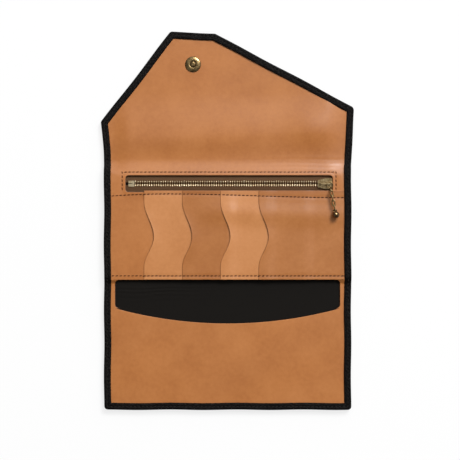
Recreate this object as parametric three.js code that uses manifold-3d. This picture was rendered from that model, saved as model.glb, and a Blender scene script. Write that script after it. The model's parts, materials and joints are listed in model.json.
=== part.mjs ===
// Long leather wallet, lying open on its outside with its inside up.
// Millimetres. +X runs to the right along the zip, +Y towards the flap's tip, +Z up.
// The origin is on the surface it lies on, under the middle of its outline.
// Seen from above, from -Y to +Y: front panel, lower spine, back panel, upper spine, flap.

import * as THREE from 'three';
import { mergeVertices } from 'three/addons/utils/BufferGeometryUtils.js';
import Module from 'manifold-3d';

const wasm = await Module();
wasm.setup();

// Clearances
const gap = 0.3;              // between two pieces that touch in the real wallet
const foldGap = 0.3;          // between two cover panels at a fold line
const weldOverlap = 0.1;      // how far joined shapes run into each other
const shutClearance = 4;      // between the pull and the front panel when the wallet is shut

// Panels, measured along Y on the open wallet
const frontLength = 82.6;
const backLength = 92.1;
const flapLength = 82.7;
const bodyHalfWidth = 97.5;

// Outline of the pointed flap
const flapRootFlare = 1;      // how much wider than the body at the fold, on each side
const shoulderFlare = 1.5;    // how much wider again at the shoulders
const leftShoulderRise = 11.5;
const rightShoulderRise = 22.8;
const tipLeftX = -45.1;
const tipRightX = -9.9;
const tipRightDrop = 1.4;
const shoulderRadius = 4;
const tipRadius = 3;
const frontCornerRadius = 3.2;

// Leather, cloth and hem thicknesses
const coverThickness = 1.2;
const liningThickness = 0.9;
const billLiningThickness = 0.4;
const pocketThickness = 0.8;
const basePanelThickness = 0.9;
const leafThickness = 0.5;
const hemThickness = 0.9;
const hemWidth = 5.5;
const hemWall = 1;

// Zip pocket
const bagThickness = 1.6;
const bagWall = 0.3;
const bagMargin = 2;
const bagSideMargin = 9.5;
const bagMouthClearance = 0.7;
const tapeThickness = 0.6;
const tapeHalfWidth = 10.5;
const tapeEndMargin = 3.5;
const zipBelowFold = 13.8;
const windowLeftMargin = 17.2;
const windowRightMargin = 14.8;
const windowHalfHeight = 6.4;
const windowRadius = 2.6;

// Zip chain
const toothPitch = 1.82;
const toothHeight = 1.4;
const toothBaseWidth = 1.15;
const toothTipWidth = 0.5;
const toothReach = 0.3;       // how far a tooth's tip crosses the centreline
const toothShoulder = 0.45;
const chainHalfWidth = 2.3;
const cordWidth = 0.8;
const cordHeight = 0.9;
const rowSpread = 1.2;        // how far the slider pushes each row aside
const bottomStopLength = 4.7;
const bottomStopBar = 1.5;
const bottomStopSlit = 0.5;
const bottomStopHeight = 1.8;
const bottomStopInset = 2.1;

// Slider
const sliderLength = 11.1;
const sliderPlate = 0.6;
const sliderLip = 0.5;
const sliderThroat = 1.3;
const sliderFlare = 5;
const sliderEndRadius = 1;
const diamondLength = 4.4;
const diamondHalfWidth = 0.55;
const diamondInset = 0.3;
const bridgeLength = 8;
const bridgeWidth = 1.2;
const bridgeThickness = 0.8;
const bridgeLeg = 1;
const bridgeInset = 1.5;
const bridgeRadius = 0.7;

// Pull: a ring round one leg of the bridge, a chain and a ball
const ringWire = 0.8;
const ringInnerRadius = 2;
const linkWire = 0.7;
const linkCount = 5;
const linkPitch = 3.9;
const firstLinkRun = 2.4;
const ballDiameter = 4.9;
const ballEyeRadius = 0.95;
const pullLean = 10.9;        // degrees from -Y towards +X

// Card leaves
const leafCount = 4;
const leafPitch = 30.13;
const leafLength = 67.2;
const leafTopBelowZip = 5.5;
const leafNotchDepth = 7.6;
const leafNotchHalfHeight = 22.5;
const leafNotchBelowTop = 36.2;

// Front pocket mouth
const mouthSag = 11.9;
const mouthStrip = 3.4;

// Snap fastener
const snapX = -27.3;
const snapBeyondFold = 57;
const snapDiameter = 12.4;
const snapRim = 0.5;
const snapDome = 0.9;
const studHeight = 2.3;
const studKnobDiameter = 4.2;
const studNeckDiameter = 3.2;
const capHeight = 1.7;
const socketBase = 0.4;
const snapPostDiameter = 3;
const rivetDiameter = 8;
const rivetThickness = 0.4;
const postSink = 0.5;         // how far the cap's post reaches up into the stud

// Heights above the cover's inner face, panel by panel
const flapLiningLow = gap;
const flapLiningTop = flapLiningLow + liningThickness;
const flapHemTop = flapLiningTop + gap + hemThickness;
const billLiningLow = gap;
const billLiningTop = billLiningLow + billLiningThickness;
const pocketLow = billLiningTop + gap;
const pocketTop = pocketLow + pocketThickness;
const frontHemTop = pocketTop + gap + hemThickness;
const bagLow = gap;
const bagTop = bagLow + bagThickness;
const tapeLow = bagTop + gap;
const zipPlane = tapeLow + tapeThickness / 2;
const basePanelLow = tapeLow + tapeThickness + gap;
const basePanelTop = basePanelLow + basePanelThickness;
const backHemTop = basePanelTop + gap + hemThickness;
const leafTilt = Math.asin((leafThickness + gap) / leafPitch);
const leafStackTop = basePanelTop + gap + leafLength * Math.sin(leafTilt) + leafThickness;

// Slider and pull heights. The ring hangs level with the leaves' highest edge, so that the
// first link, which rises from it, passes clear over that edge.
const plateLow = toothHeight / 2 + gap;
const sliderTop = zipPlane + plateLow + sliderPlate;
const linkHalfWidth = linkWire + gap;
const ringLevel = leafStackTop;
const bridgeLow = ringLevel + ringWire / 2 + gap;
const bridgeTop = bridgeLow + bridgeThickness;
const ballLevel = leafStackTop + gap + ballDiameter / 2;

// Spines: wide enough for what lies between the panels when the wallet is shut
const pullTop = ballLevel + ballDiameter / 2;
const lowerSpine = pullTop + shutClearance + pocketTop;
const socketHeight = capHeight;
const snapClearance = gap + snapDome + gap + gap + socketHeight;
const upperSpine = lowerSpine + coverThickness + snapClearance + flapLiningTop;
const restHeight = gap + capHeight;
const innerFace = restHeight + coverThickness;

// Fold lines along Y
const totalLength = frontLength + lowerSpine + backLength + upperSpine + flapLength;
const frontEdgeY = -totalLength / 2;
const frontFoldY = frontEdgeY + frontLength;
const lowerFoldY = frontFoldY + lowerSpine;
const upperFoldY = lowerFoldY + backLength;
const flapFoldY = upperFoldY + upperSpine;
const flapTipY = flapFoldY + flapLength;

// Layers stop short of a fold by the height of what folds against them
const lowerSetback = frontHemTop + gap;
const upperSetback = flapHemTop + gap;
const liningInset = hemWall + gap;

// Places that follow from the sizes above
const flapRootHalfWidth = bodyHalfWidth + flapRootFlare;
const shoulderHalfWidth = flapRootHalfWidth + shoulderFlare;
const windowLeftX = -bodyHalfWidth + windowLeftMargin;
const windowRightX = bodyHalfWidth - windowRightMargin;
const zipY = upperFoldY - zipBelowFold;
const leafTopY = zipY - leafTopBelowZip;
const leafBottomY = lowerFoldY + lowerSetback;
const leafRightX = bodyHalfWidth - hemWidth - gap;
const snapY = flapFoldY + snapBeyondFold;
const socketY = frontFoldY - (upperFoldY - snapBeyondFold - lowerFoldY);
const sliderRightX = windowRightX - gap;
const sliderLeftX = sliderRightX - sliderLength;
const bottomStopLeftX = windowLeftX + bottomStopInset;
const bottomStopRightX = bottomStopLeftX + bottomStopLength;
const spreadStartX = sliderLeftX + sliderThroat;
const spreadEndX = spreadStartX + sliderFlare + 1;
const bridgeLeftX = sliderLeftX + bridgeInset;
const pivotX = bridgeLeftX + bridgeLength - bridgeLeg / 2;

// Facets
const cornerSteps = 4;
const snapFacets = 24;

const finishes = {
  blackLeather: { color: 0x14110f, roughness: 0.55, metalness: 0 },
  tanLeather: { color: 0xbe7b47, roughness: 0.5, metalness: 0 },
  tanLeafDark: { color: 0xb27542, roughness: 0.5, metalness: 0 },
  tanLeafLight: { color: 0xcc8a56, roughness: 0.5, metalness: 0 },
  blackCloth: { color: 0x17140f, roughness: 0.9, metalness: 0 },
  brownTape: { color: 0x5c4430, roughness: 0.85, metalness: 0 },
  brass: { color: 0x8a7440, roughness: 0.35, metalness: 1 },
  darkBrass: { color: 0x4a3c20, roughness: 0.4, metalness: 1 },
};

const wallet = new THREE.Group();

// Signed volume of an indexed triangle mesh, positive when its faces point outwards.
function signedVolume(positions, index) {
  const a = new THREE.Vector3();
  const b = new THREE.Vector3();
  const c = new THREE.Vector3();
  let volume = 0;
  for (let i = 0; i < index.length; i += 3) {
    a.fromArray(positions, index[i] * 3);
    b.fromArray(positions, index[i + 1] * 3);
    c.fromArray(positions, index[i + 2] * 3);
    volume += a.dot(b.cross(c)) / 6;
  }
  return volume;
}

// Turns a closed three.js geometry into a solid: corners shared, faces outwards.
function solid(geometry) {
  const bare = geometry.clone();
  bare.deleteAttribute('normal');
  bare.deleteAttribute('uv');
  const welded = mergeVertices(bare, 1e-4);
  const positions = new Float32Array(welded.attributes.position.array);
  const source = welded.index.array;
  const index = [];
  for (let i = 0; i < source.length; i += 3) {
    const [a, b, c] = [source[i], source[i + 1], source[i + 2]];
    if (a !== b && b !== c && c !== a) {
      index.push(a, b, c);
    }
  }
  if (signedVolume(positions, index) < 0) {
    for (let i = 0; i < index.length; i += 3) {
      [index[i], index[i + 1]] = [index[i + 1], index[i]];
    }
  }
  const mesh = new wasm.Mesh({
    numProp: 3,
    vertProperties: positions,
    triVerts: new Uint32Array(index),
  });
  return new wasm.Manifold(mesh);
}

// Turns a solid back into a three.js geometry.
function toGeometry(body) {
  const mesh = body.getMesh();
  const geometry = new THREE.BufferGeometry();
  geometry.setAttribute('position', new THREE.BufferAttribute(mesh.vertProperties, 3));
  geometry.setIndex(new THREE.BufferAttribute(mesh.triVerts, 1));
  geometry.computeVertexNormals();
  return geometry;
}

// Adds one named piece in its finish, and gives its mesh back.
function addPiece(name, body, finish, parent = wallet) {
  const mesh = new THREE.Mesh(toGeometry(body), new THREE.MeshStandardMaterial(finishes[finish]));
  mesh.name = name;
  parent.add(mesh);
  return mesh;
}

// Moves each side of an anticlockwise outline inwards by its own distance.
function insetOutline(points, distances) {
  const sides = points.map((from, i) => {
    const to = points[(i + 1) % points.length];
    const length = Math.hypot(to[0] - from[0], to[1] - from[1]);
    const along = [(to[0] - from[0]) / length, (to[1] - from[1]) / length];
    const shift = distances[i];
    return { start: [from[0] - along[1] * shift, from[1] + along[0] * shift], along };
  });
  return points.map((_, i) => {
    const before = sides[(i + sides.length - 1) % sides.length];
    const after = sides[i];
    const cross = before.along[0] * after.along[1] - before.along[1] * after.along[0];
    const dx = after.start[0] - before.start[0];
    const dy = after.start[1] - before.start[1];
    const reach = (dx * after.along[1] - dy * after.along[0]) / cross;
    return [before.start[0] + before.along[0] * reach, before.start[1] + before.along[1] * reach];
  });
}

// A closed shape through the points, with each corner rounded by its own radius.
function roundedShape(points, radii) {
  const shape = new THREE.Shape();
  points.forEach((corner, i) => {
    const before = points[(i + points.length - 1) % points.length];
    const after = points[(i + 1) % points.length];
    const inward = new THREE.Vector2(before[0] - corner[0], before[1] - corner[1]).normalize();
    const outward = new THREE.Vector2(after[0] - corner[0], after[1] - corner[1]).normalize();
    const turn = Math.PI - Math.acos(THREE.MathUtils.clamp(inward.dot(outward), -1, 1));
    const cut = radii[i] * Math.tan(turn / 2);
    const start = [corner[0] + inward.x * cut, corner[1] + inward.y * cut];
    if (i === 0) {
      shape.moveTo(...start);
    } else {
      shape.lineTo(...start);
    }
    if (cut > 0) {
      shape.quadraticCurveTo(...corner, corner[0] + outward.x * cut, corner[1] + outward.y * cut);
    }
  });
  return shape;
}

// A flat sheet of the shape between two heights above the cover's inner face.
function sheet(shape, low, top) {
  const geometry = new THREE.ExtrudeGeometry(shape, {
    depth: top - low,
    bevelEnabled: false,
    curveSegments: cornerSteps,
  });
  geometry.translate(0, 0, innerFace + low);
  return solid(geometry);
}

// A round piece turned about an upright axis at (x, y), its profile closed or ending on the axis.
function turned(profile, x, y, facets) {
  const points = profile.map(([radius, height]) => new THREE.Vector2(radius, height));
  const geometry = new THREE.LatheGeometry(points, facets);
  geometry.rotateX(Math.PI / 2);
  geometry.translate(x, y, innerFace);
  return solid(geometry);
}

// A straight round hole's cutter at (x, y) between two heights.
function drill(diameter, x, y, low, top) {
  const geometry = new THREE.CylinderGeometry(diameter / 2, diameter / 2, top - low, snapFacets);
  geometry.rotateX(Math.PI / 2);
  geometry.translate(x, y, innerFace + (low + top) / 2);
  return solid(geometry);
}

// A rectangle as an anticlockwise outline.
function rectangle(left, bottom, right, top) {
  return [[left, bottom], [right, bottom], [right, top], [left, top]];
}

// A cover panel: one sheet whose turned edge comes up, over the lining and back inwards.
// hems says which sides are turned, and ends how far the turned edge stops short of the others.
function coverPanel(outline, radii, hems, ends, hemTop) {
  const flat = sheet(roundedShape(outline, radii), -coverThickness, 0);
  const rimOutline = insetOutline(outline, hems.map((hem, i) => (hem ? 0 : ends[i])));
  const beyond = -2 * hemWidth;
  const wallHole = insetOutline(outline, hems.map((hem) => (hem ? hemWall : beyond)));
  const hemHole = insetOutline(outline, hems.map((hem) => (hem ? hemWidth : beyond)));
  const noRadii = radii.map(() => 0);
  const holeRadii = radii.map((radius) => radius / 2);
  const wall = sheet(roundedShape(rimOutline, radii), -coverThickness / 2, hemTop)
    .subtract(sheet(roundedShape(wallHole, holeRadii), -coverThickness, hemTop + 1));
  const flange = sheet(roundedShape(rimOutline, radii), hemTop - hemThickness, hemTop)
    .subtract(sheet(roundedShape(hemHole, noRadii), -coverThickness, hemTop + 1));
  return flat.add(wall).add(flange);
}

// Outlines of the five cover panels, each from its lower left corner, anticlockwise.
const half = foldGap / 2;
const frontOutline = rectangle(-bodyHalfWidth, frontEdgeY, bodyHalfWidth, frontFoldY - half);
const lowerSpineOutline = rectangle(
  -bodyHalfWidth, frontFoldY + half, bodyHalfWidth, lowerFoldY - half,
);
const backOutline = rectangle(-bodyHalfWidth, lowerFoldY + half, bodyHalfWidth, upperFoldY - half);
const upperSpineOutline = [
  [-bodyHalfWidth, upperFoldY + half],
  [bodyHalfWidth, upperFoldY + half],
  [flapRootHalfWidth, flapFoldY - half],
  [-flapRootHalfWidth, flapFoldY - half],
];
const flapOutline = [
  [-flapRootHalfWidth, flapFoldY + half],
  [flapRootHalfWidth, flapFoldY + half],
  [shoulderHalfWidth, flapFoldY + rightShoulderRise],
  [tipRightX, flapTipY - tipRightDrop],
  [tipLeftX, flapTipY],
  [-shoulderHalfWidth, flapFoldY + leftShoulderRise],
];
const squareCorners = [0, 0, 0, 0];

function buildCovers() {
  const sides = [false, true, false, true];
  const spineEnds = [0, 0, 0, 0];
  const backEnds = [lowerSetback - half, 0, upperSetback - half, 0];
  const back = coverPanel(backOutline, squareCorners, sides, backEnds, backHemTop);
  addPiece('cover_back', back, 'blackLeather');
  const lower = coverPanel(lowerSpineOutline, squareCorners, sides, spineEnds, frontHemTop);
  addPiece('cover_lower_spine', lower, 'blackLeather');
  const upper = coverPanel(upperSpineOutline, squareCorners, sides, spineEnds, flapHemTop);
  addPiece('cover_upper_spine', upper, 'blackLeather');

  const frontHems = [true, true, false, true];
  const frontEnds = [0, 0, lowerSetback - half, 0];
  const frontRadii = [frontCornerRadius, frontCornerRadius, 0, 0];
  const rivetSeat = drill(
    rivetDiameter + 2 * gap, snapX, socketY, -rivetThickness - gap, weldOverlap,
  );
  const socketHole = drill(
    snapPostDiameter + 2 * gap, snapX, socketY, -2 * coverThickness, coverThickness,
  );
  const front = coverPanel(frontOutline, frontRadii, frontHems, frontEnds, frontHemTop)
    .subtract(rivetSeat)
    .subtract(socketHole);
  addPiece('cover_front', front, 'blackLeather');

  const flapHems = [false, true, true, true, true, true];
  const flapEnds = [upperSetback - half, 0, 0, 0, 0, 0];
  const flapRadii = [0, 0, shoulderRadius, tipRadius, tipRadius, tipRadius];
  const postHole = drill(
    snapPostDiameter + 2 * gap, snapX, snapY, -2 * coverThickness, coverThickness,
  );
  const flap = coverPanel(flapOutline, flapRadii, flapHems, flapEnds, flapHemTop)
    .subtract(postHole);
  addPiece('cover_flap', flap, 'blackLeather');
}

function buildFlapLinings() {
  const edge = liningInset;
  const spineSides = [0, edge, 0, edge];
  const spineShape = roundedShape(insetOutline(upperSpineOutline, spineSides), squareCorners);
  addPiece('upper_spine_lining', sheet(spineShape, flapLiningLow, flapLiningTop), 'tanLeather');

  const flapSides = [upperSetback - half, edge, edge, edge, edge, edge];
  const radii = [0, 0, shoulderRadius, tipRadius, tipRadius, tipRadius];
  const flapShape = roundedShape(insetOutline(flapOutline, flapSides), radii);
  const postHole = drill(snapPostDiameter + 2 * gap, snapX, snapY, 0, flapLiningTop + gap);
  const lining = sheet(flapShape, flapLiningLow, flapLiningTop).subtract(postHole);
  addPiece('flap_lining', lining, 'tanLeather');
}

function buildFrontPocket() {
  const edge = liningInset;
  const liningSides = [edge, edge, lowerSetback - half, edge];
  const corners = [frontCornerRadius, frontCornerRadius, 0, 0];
  const liningShape = roundedShape(insetOutline(frontOutline, liningSides), corners);
  addPiece('bill_lining_front', sheet(liningShape, billLiningLow, billLiningTop), 'blackCloth');

  const spineSides = [0, edge, 0, edge];
  const spineOutline = insetOutline(lowerSpineOutline, spineSides);
  const spineShape = roundedShape(spineOutline, squareCorners);
  addPiece('bill_lining_spine', sheet(spineShape, billLiningLow, billLiningTop), 'blackCloth');

  // Narrow strips of the pocket leather run up each side of the mouth.
  const stripInner = bodyHalfWidth - hemWidth - mouthStrip;
  const [[outerX, stripLow], , [, stripTop]] = spineOutline;
  [['left', outerX, -stripInner], ['right', stripInner, -outerX]].forEach(([side, from, to]) => {
    const shape = roundedShape(rectangle(from, stripLow, to, stripTop), squareCorners);
    addPiece(`mouth_strip_${side}`, sheet(shape, pocketLow, pocketTop), 'tanLeather');
  });

  // The pocket's upper edge is one shallow arc, hanging between the two strips.
  const panel = insetOutline(frontOutline, liningSides);
  const [[left, bottom], [right], [, top]] = panel;
  const arcRadius = (stripInner ** 2 + mouthSag ** 2) / (2 * mouthSag);
  const arcHalf = Math.asin(stripInner / arcRadius);
  const shape = new THREE.Shape();
  shape.moveTo(left, bottom + frontCornerRadius);
  shape.quadraticCurveTo(left, bottom, left + frontCornerRadius, bottom);
  shape.lineTo(right - frontCornerRadius, bottom);
  shape.quadraticCurveTo(right, bottom, right, bottom + frontCornerRadius);
  shape.lineTo(right, top);
  shape.lineTo(stripInner, top);
  const arcFrom = -Math.PI / 2 + arcHalf;
  const arcTo = -Math.PI / 2 - arcHalf;
  shape.absarc(0, top - mouthSag + arcRadius, arcRadius, arcFrom, arcTo, true);
  shape.lineTo(left, top);
  const geometry = new THREE.ExtrudeGeometry(shape, {
    depth: pocketThickness,
    bevelEnabled: false,
    curveSegments: 16,
  });
  geometry.translate(0, 0, innerFace + pocketLow);
  addPiece('front_pocket_panel', solid(geometry), 'tanLeather');
}

function buildBasePanel() {
  const sides = [lowerSetback - half, liningInset, upperSetback - half, liningInset];
  const panel = roundedShape(insetOutline(backOutline, sides), squareCorners);
  const opening = rectangle(
    windowLeftX, zipY - windowHalfHeight, windowRightX, zipY + windowHalfHeight,
  );
  panel.holes.push(roundedShape(opening, opening.map(() => windowRadius)));
  addPiece('card_base_panel', sheet(panel, basePanelLow, basePanelTop), 'tanLeather');
}

// A flat pouch under the base panel, open along the zip.
function buildZipBag() {
  const left = -bodyHalfWidth + bagSideMargin;
  const right = bodyHalfWidth - bagSideMargin;
  const bottom = leafBottomY + bagMargin;
  const top = upperFoldY - upperSetback;
  const outer = rectangle(left, bottom, right, top);
  const inner = insetOutline(outer, [bagWall, bagWall, bagWall, bagWall]);
  const reach = sliderWideHalf() + bagMouthClearance;
  const mouth = rectangle(windowLeftX, zipY - reach, sliderRightX + gap, zipY + reach);
  const pouch = sheet(roundedShape(outer, squareCorners), bagLow, bagTop)
    .subtract(sheet(roundedShape(inner, squareCorners), bagLow + bagWall, bagTop - bagWall))
    .subtract(sheet(roundedShape(mouth, squareCorners), bagLow + bagWall, bagTop + gap));
  addPiece('zip_pocket_bag', pouch, 'blackCloth');
}

// How far each row of teeth stands off the centreline at x, pushed aside inside the slider.
function spreadAt(x) {
  return rowSpread * THREE.MathUtils.smoothstep(x, spreadStartX, spreadEndX);
}

// Half the slider's inner width at its wide end, and its outer one.
function sliderWideInner() {
  return chainHalfWidth + rowSpread + gap;
}

function sliderWideHalf() {
  return sliderWideInner() + sliderLip;
}

// A band beside the zip's centreline from near to far, following the rows where they spread.
// side is 1 above the centreline and -1 below it.
function zipBand(side, near, far, leftX, rightX, farSpreads) {
  const steps = 6;
  const xs = [leftX];
  for (let i = 0; i <= steps; i += 1) {
    xs.push(spreadStartX + ((spreadEndX - spreadStartX) * i) / steps);
  }
  xs.push(rightX);
  const shape = new THREE.Shape();
  shape.moveTo(leftX, zipY + side * near);
  xs.slice(1).forEach((x) => shape.lineTo(x, zipY + side * (near + spreadAt(x))));
  const back = farSpreads ? xs.slice().reverse() : [rightX, leftX];
  back.forEach((x) => shape.lineTo(x, zipY + side * (far + (farSpreads ? spreadAt(x) : 0))));
  return shape;
}

// One tooth's outline: a square base on the cord and a tip that reaches past the centreline.
function toothShape(x, side) {
  const offset = spreadAt(x);
  const at = (across, away) => new THREE.Vector2(x + across, zipY + side * (away + offset));
  return new THREE.Shape([
    at(-toothBaseWidth / 2, chainHalfWidth),
    at(-toothBaseWidth / 2, toothShoulder),
    at(-toothTipWidth / 2, -toothReach),
    at(toothTipWidth / 2, -toothReach),
    at(toothBaseWidth / 2, toothShoulder),
    at(toothBaseWidth / 2, chainHalfWidth),
  ]);
}

// The rows mesh by half a pitch. Each row is one piece on its beaded cord.
function buildZip() {
  const tapeLeft = -bodyHalfWidth + bagSideMargin + tapeEndMargin;
  const tapeRight = bodyHalfWidth - bagSideMargin - tapeEndMargin;
  const firstTooth = bottomStopRightX + gap + toothBaseWidth / 2;
  const lastTooth = sliderRightX - toothPitch;
  const count = Math.floor((lastTooth - firstTooth) / toothPitch);
  [['upper', 1, 0], ['lower', -1, toothPitch / 2]].forEach(([row, side, shift]) => {
    const tape = zipBand(side, chainHalfWidth + gap, tapeHalfWidth, tapeLeft, tapeRight, false);
    const cloth = sheet(tape, tapeLow, tapeLow + tapeThickness);
    addPiece(`zip_tape_${row}`, cloth, 'brownTape');

    const cordNear = chainHalfWidth - cordWidth;
    const cordLeft = bottomStopRightX + gap;
    const cord = zipBand(side, cordNear, chainHalfWidth, cordLeft, tapeRight, true);
    const low = zipPlane - cordHeight / 2;
    let chain = sheet(cord, low, low + cordHeight);
    const teeth = [];
    for (let i = 0; i < count; i += 1) {
      const x = firstTooth + shift + i * toothPitch;
      teeth.push(sheet(toothShape(x, side), zipPlane - toothHeight / 2, zipPlane + toothHeight / 2));
    }
    chain = teeth.reduce((joined, tooth) => joined.add(tooth), chain);
    addPiece(`zip_teeth_${row}`, chain, 'brass');
  });

  const stopHalf = chainHalfWidth;
  const barLeft = bottomStopRightX - bottomStopBar;
  const stop = new THREE.Shape([
    new THREE.Vector2(bottomStopLeftX, zipY - stopHalf),
    new THREE.Vector2(bottomStopRightX, zipY - stopHalf),
    new THREE.Vector2(bottomStopRightX, zipY + stopHalf),
    new THREE.Vector2(bottomStopLeftX, zipY + stopHalf),
    new THREE.Vector2(bottomStopLeftX, zipY + bottomStopSlit / 2),
    new THREE.Vector2(barLeft, zipY + bottomStopSlit / 2),
    new THREE.Vector2(barLeft, zipY - bottomStopSlit / 2),
    new THREE.Vector2(bottomStopLeftX, zipY - bottomStopSlit / 2),
  ]);
  const stopLow = zipPlane - bottomStopHeight / 2;
  addPiece('zip_bottom_stop', sheet(stop, stopLow, stopLow + bottomStopHeight), 'brass');
}

// The slider's outline with the given half widths at its throat and at its wide end.
function sliderOutline(throatHalf, wideHalf, overhang) {
  const flareLeft = sliderLeftX + sliderThroat;
  const flareRight = flareLeft + sliderFlare;
  return [
    [sliderLeftX - overhang, zipY - throatHalf],
    [flareLeft, zipY - throatHalf],
    [flareRight, zipY - wideHalf],
    [sliderRightX + overhang, zipY - wideHalf],
    [sliderRightX + overhang, zipY + wideHalf],
    [flareRight, zipY + wideHalf],
    [flareLeft, zipY + throatHalf],
    [sliderLeftX - overhang, zipY + throatHalf],
  ];
}

function buildSlider() {
  const throatInner = chainHalfWidth + gap;
  const outer = sliderOutline(throatInner + sliderLip, sliderWideHalf(), 0);
  const inner = sliderOutline(throatInner, sliderWideInner(), 1);
  const round = sliderEndRadius;
  const plate = roundedShape(outer, [round / 2, 0, 0, round, round, 0, 0, round / 2]);
  const channel = roundedShape(inner, inner.map(() => 0));
  const lipReach = tapeThickness / 2 + gap;
  const full = sheet(plate, zipPlane - plateLow - sliderPlate, sliderTop);
  const rows = sheet(channel, zipPlane - plateLow, zipPlane + plateLow);
  const edge = sliderOutline(bodyHalfWidth, bodyHalfWidth, 1);
  const tapeSlot = sheet(
    roundedShape(edge, edge.map(() => 0)), zipPlane - lipReach, zipPlane + lipReach,
  );
  const diamondRight = sliderRightX - diamondInset;
  const diamondLeft = diamondRight - diamondLength;
  const diamondMiddle = diamondRight - diamondLength * 0.4;
  const diamond = new THREE.Shape([
    new THREE.Vector2(diamondLeft, zipY),
    new THREE.Vector2(diamondMiddle, zipY - diamondHalfWidth),
    new THREE.Vector2(diamondRight, zipY - diamondHalfWidth / 2),
    new THREE.Vector2(diamondRight, zipY + diamondHalfWidth / 2),
    new THREE.Vector2(diamondMiddle, zipY + diamondHalfWidth),
  ]);
  const post = sheet(
    diamond, zipPlane - plateLow - weldOverlap, zipPlane + plateLow + weldOverlap,
  );
  const body = full.subtract(rows).subtract(tapeSlot).add(post).add(bridge());
  addPiece('zip_slider', body, 'darkBrass');
}

// The arch on the slider's upper plate that the pull's ring goes under.
function bridge() {
  const foot = sliderTop - weldOverlap;
  const right = bridgeLength;
  const arch = [
    [0, foot], [bridgeLeg, foot], [bridgeLeg, bridgeLow], [right - bridgeLeg, bridgeLow],
    [right - bridgeLeg, foot], [right, foot], [right, bridgeTop], [0, bridgeTop],
  ];
  const shape = roundedShape(arch, [0, 0, 0, 0, 0, 0, bridgeRadius, bridgeRadius]);
  const geometry = new THREE.ExtrudeGeometry(shape, {
    depth: bridgeWidth,
    bevelEnabled: false,
    curveSegments: cornerSteps,
  });
  geometry.rotateX(Math.PI / 2);
  geometry.translate(bridgeLeftX, zipY + bridgeWidth / 2, innerFace);
  return solid(geometry);
}

// A wire loop in the XY plane, drawn out along Y by the stretch between its two half rings.
function loop(radius, wire, stretch, sides, steps) {
  const geometry = new THREE.TorusGeometry(radius, wire / 2, sides, steps);
  geometry.rotateZ(Math.PI / steps);
  const position = geometry.attributes.position;
  for (let i = 0; i < position.count; i += 1) {
    const y = position.getY(i);
    position.setY(i, y + Math.sign(y) * (stretch / 2));
  }
  return solid(geometry);
}

// The joints of the chain, as distances from the pivot and heights above the inner face.
// The first link rises steeply, and the others share what is left up to the ball's level.
function chainJoints(ringReach) {
  const joints = [[ringReach, ringLevel]];
  const steep = Math.sqrt(linkPitch ** 2 - firstLinkRun ** 2);
  joints.push([ringReach + firstLinkRun, ringLevel + steep]);
  const linkRise = (ballLevel - ringLevel - steep) / (linkCount - 1);
  for (let i = 1; i < linkCount; i += 1) {
    const [away, height] = joints[i];
    joints.push([away + Math.sqrt(linkPitch ** 2 - linkRise ** 2), height + linkRise]);
  }
  return joints;
}

function buildPull() {
  const pivot = new THREE.Group();
  pivot.position.set(pivotX, zipY, innerFace);
  pivot.rotation.z = THREE.MathUtils.degToRad(pullLean);
  wallet.add(pivot);

  // The leg stands inside the ring, close to the ring's far side.
  const ringRadius = ringInnerRadius + ringWire / 2;
  const ringShift = ringInnerRadius - gap - bridgeWidth / 2;
  const ring = addPiece('pull_ring', loop(ringRadius, ringWire, 0, 8, 24), 'brass', pivot);
  ring.position.set(0, -ringShift, ringLevel);

  const joints = chainJoints(ringShift + ringRadius);
  const hook = (linkWire + gap) / 2;
  const firstHook = (ringWire + linkWire) / 2 + gap;
  for (let i = 0; i < linkCount; i += 1) {
    const [fromAway, fromHeight] = joints[i];
    const [toAway, toHeight] = joints[i + 1];
    const start = i === 0 ? firstHook : hook;
    const stretch = linkPitch + start + hook - 2 * linkHalfWidth;
    const link = addPiece(
      `pull_link_${i + 1}`, loop(linkHalfWidth, linkWire, stretch, 6, 14), 'brass', pivot,
    );
    const slope = Math.atan2(toHeight - fromHeight, toAway - fromAway);
    const shift = (hook - start) / 2;
    const away = (fromAway + toAway) / 2 + Math.cos(slope) * shift;
    const height = (fromHeight + toHeight) / 2 + Math.sin(slope) * shift;
    link.position.set(0, -away, height);
    link.rotation.order = 'XYZ';
    link.rotation.x = -slope;
    link.rotation.y = i % 2 === 0 ? Math.PI / 2 : 0;
  }

  const [endAway, endHeight] = joints[linkCount];
  const eyeCentre = ballEyeRadius - hook;
  const ballAway = eyeCentre + ballEyeRadius + ballDiameter / 2 - linkWire / 2;
  const globe = new THREE.SphereGeometry(ballDiameter / 2, 16, 12);
  globe.translate(0, -ballAway, 0);
  const eye = new THREE.TorusGeometry(ballEyeRadius, linkWire / 2, 6, 14);
  eye.translate(0, -eyeCentre, 0);
  const ball = addPiece('pull_ball', solid(globe).add(solid(eye)), 'brass', pivot);
  ball.position.set(0, -endAway, endHeight);
}

// A leaf of the card section: a flat sheet with a thumb notch in its free left edge.
function leafShape() {
  const notchMiddle = leafTopY - leafNotchBelowTop;
  const notchTop = notchMiddle + leafNotchHalfHeight;
  const notchBottom = notchMiddle - leafNotchHalfHeight;
  const pull = leafNotchHalfHeight / 2;
  const left = -leafLength;
  const deep = left + leafNotchDepth;
  const shape = new THREE.Shape();
  shape.moveTo(left, leafBottomY);
  shape.lineTo(0, leafBottomY);
  shape.lineTo(0, leafTopY);
  shape.lineTo(left, leafTopY);
  shape.lineTo(left, notchTop);
  shape.bezierCurveTo(left, notchTop - pull, deep, notchMiddle + pull, deep, notchMiddle);
  shape.bezierCurveTo(deep, notchMiddle - pull, left, notchBottom + pull, left, notchBottom);
  return shape;
}

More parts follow.
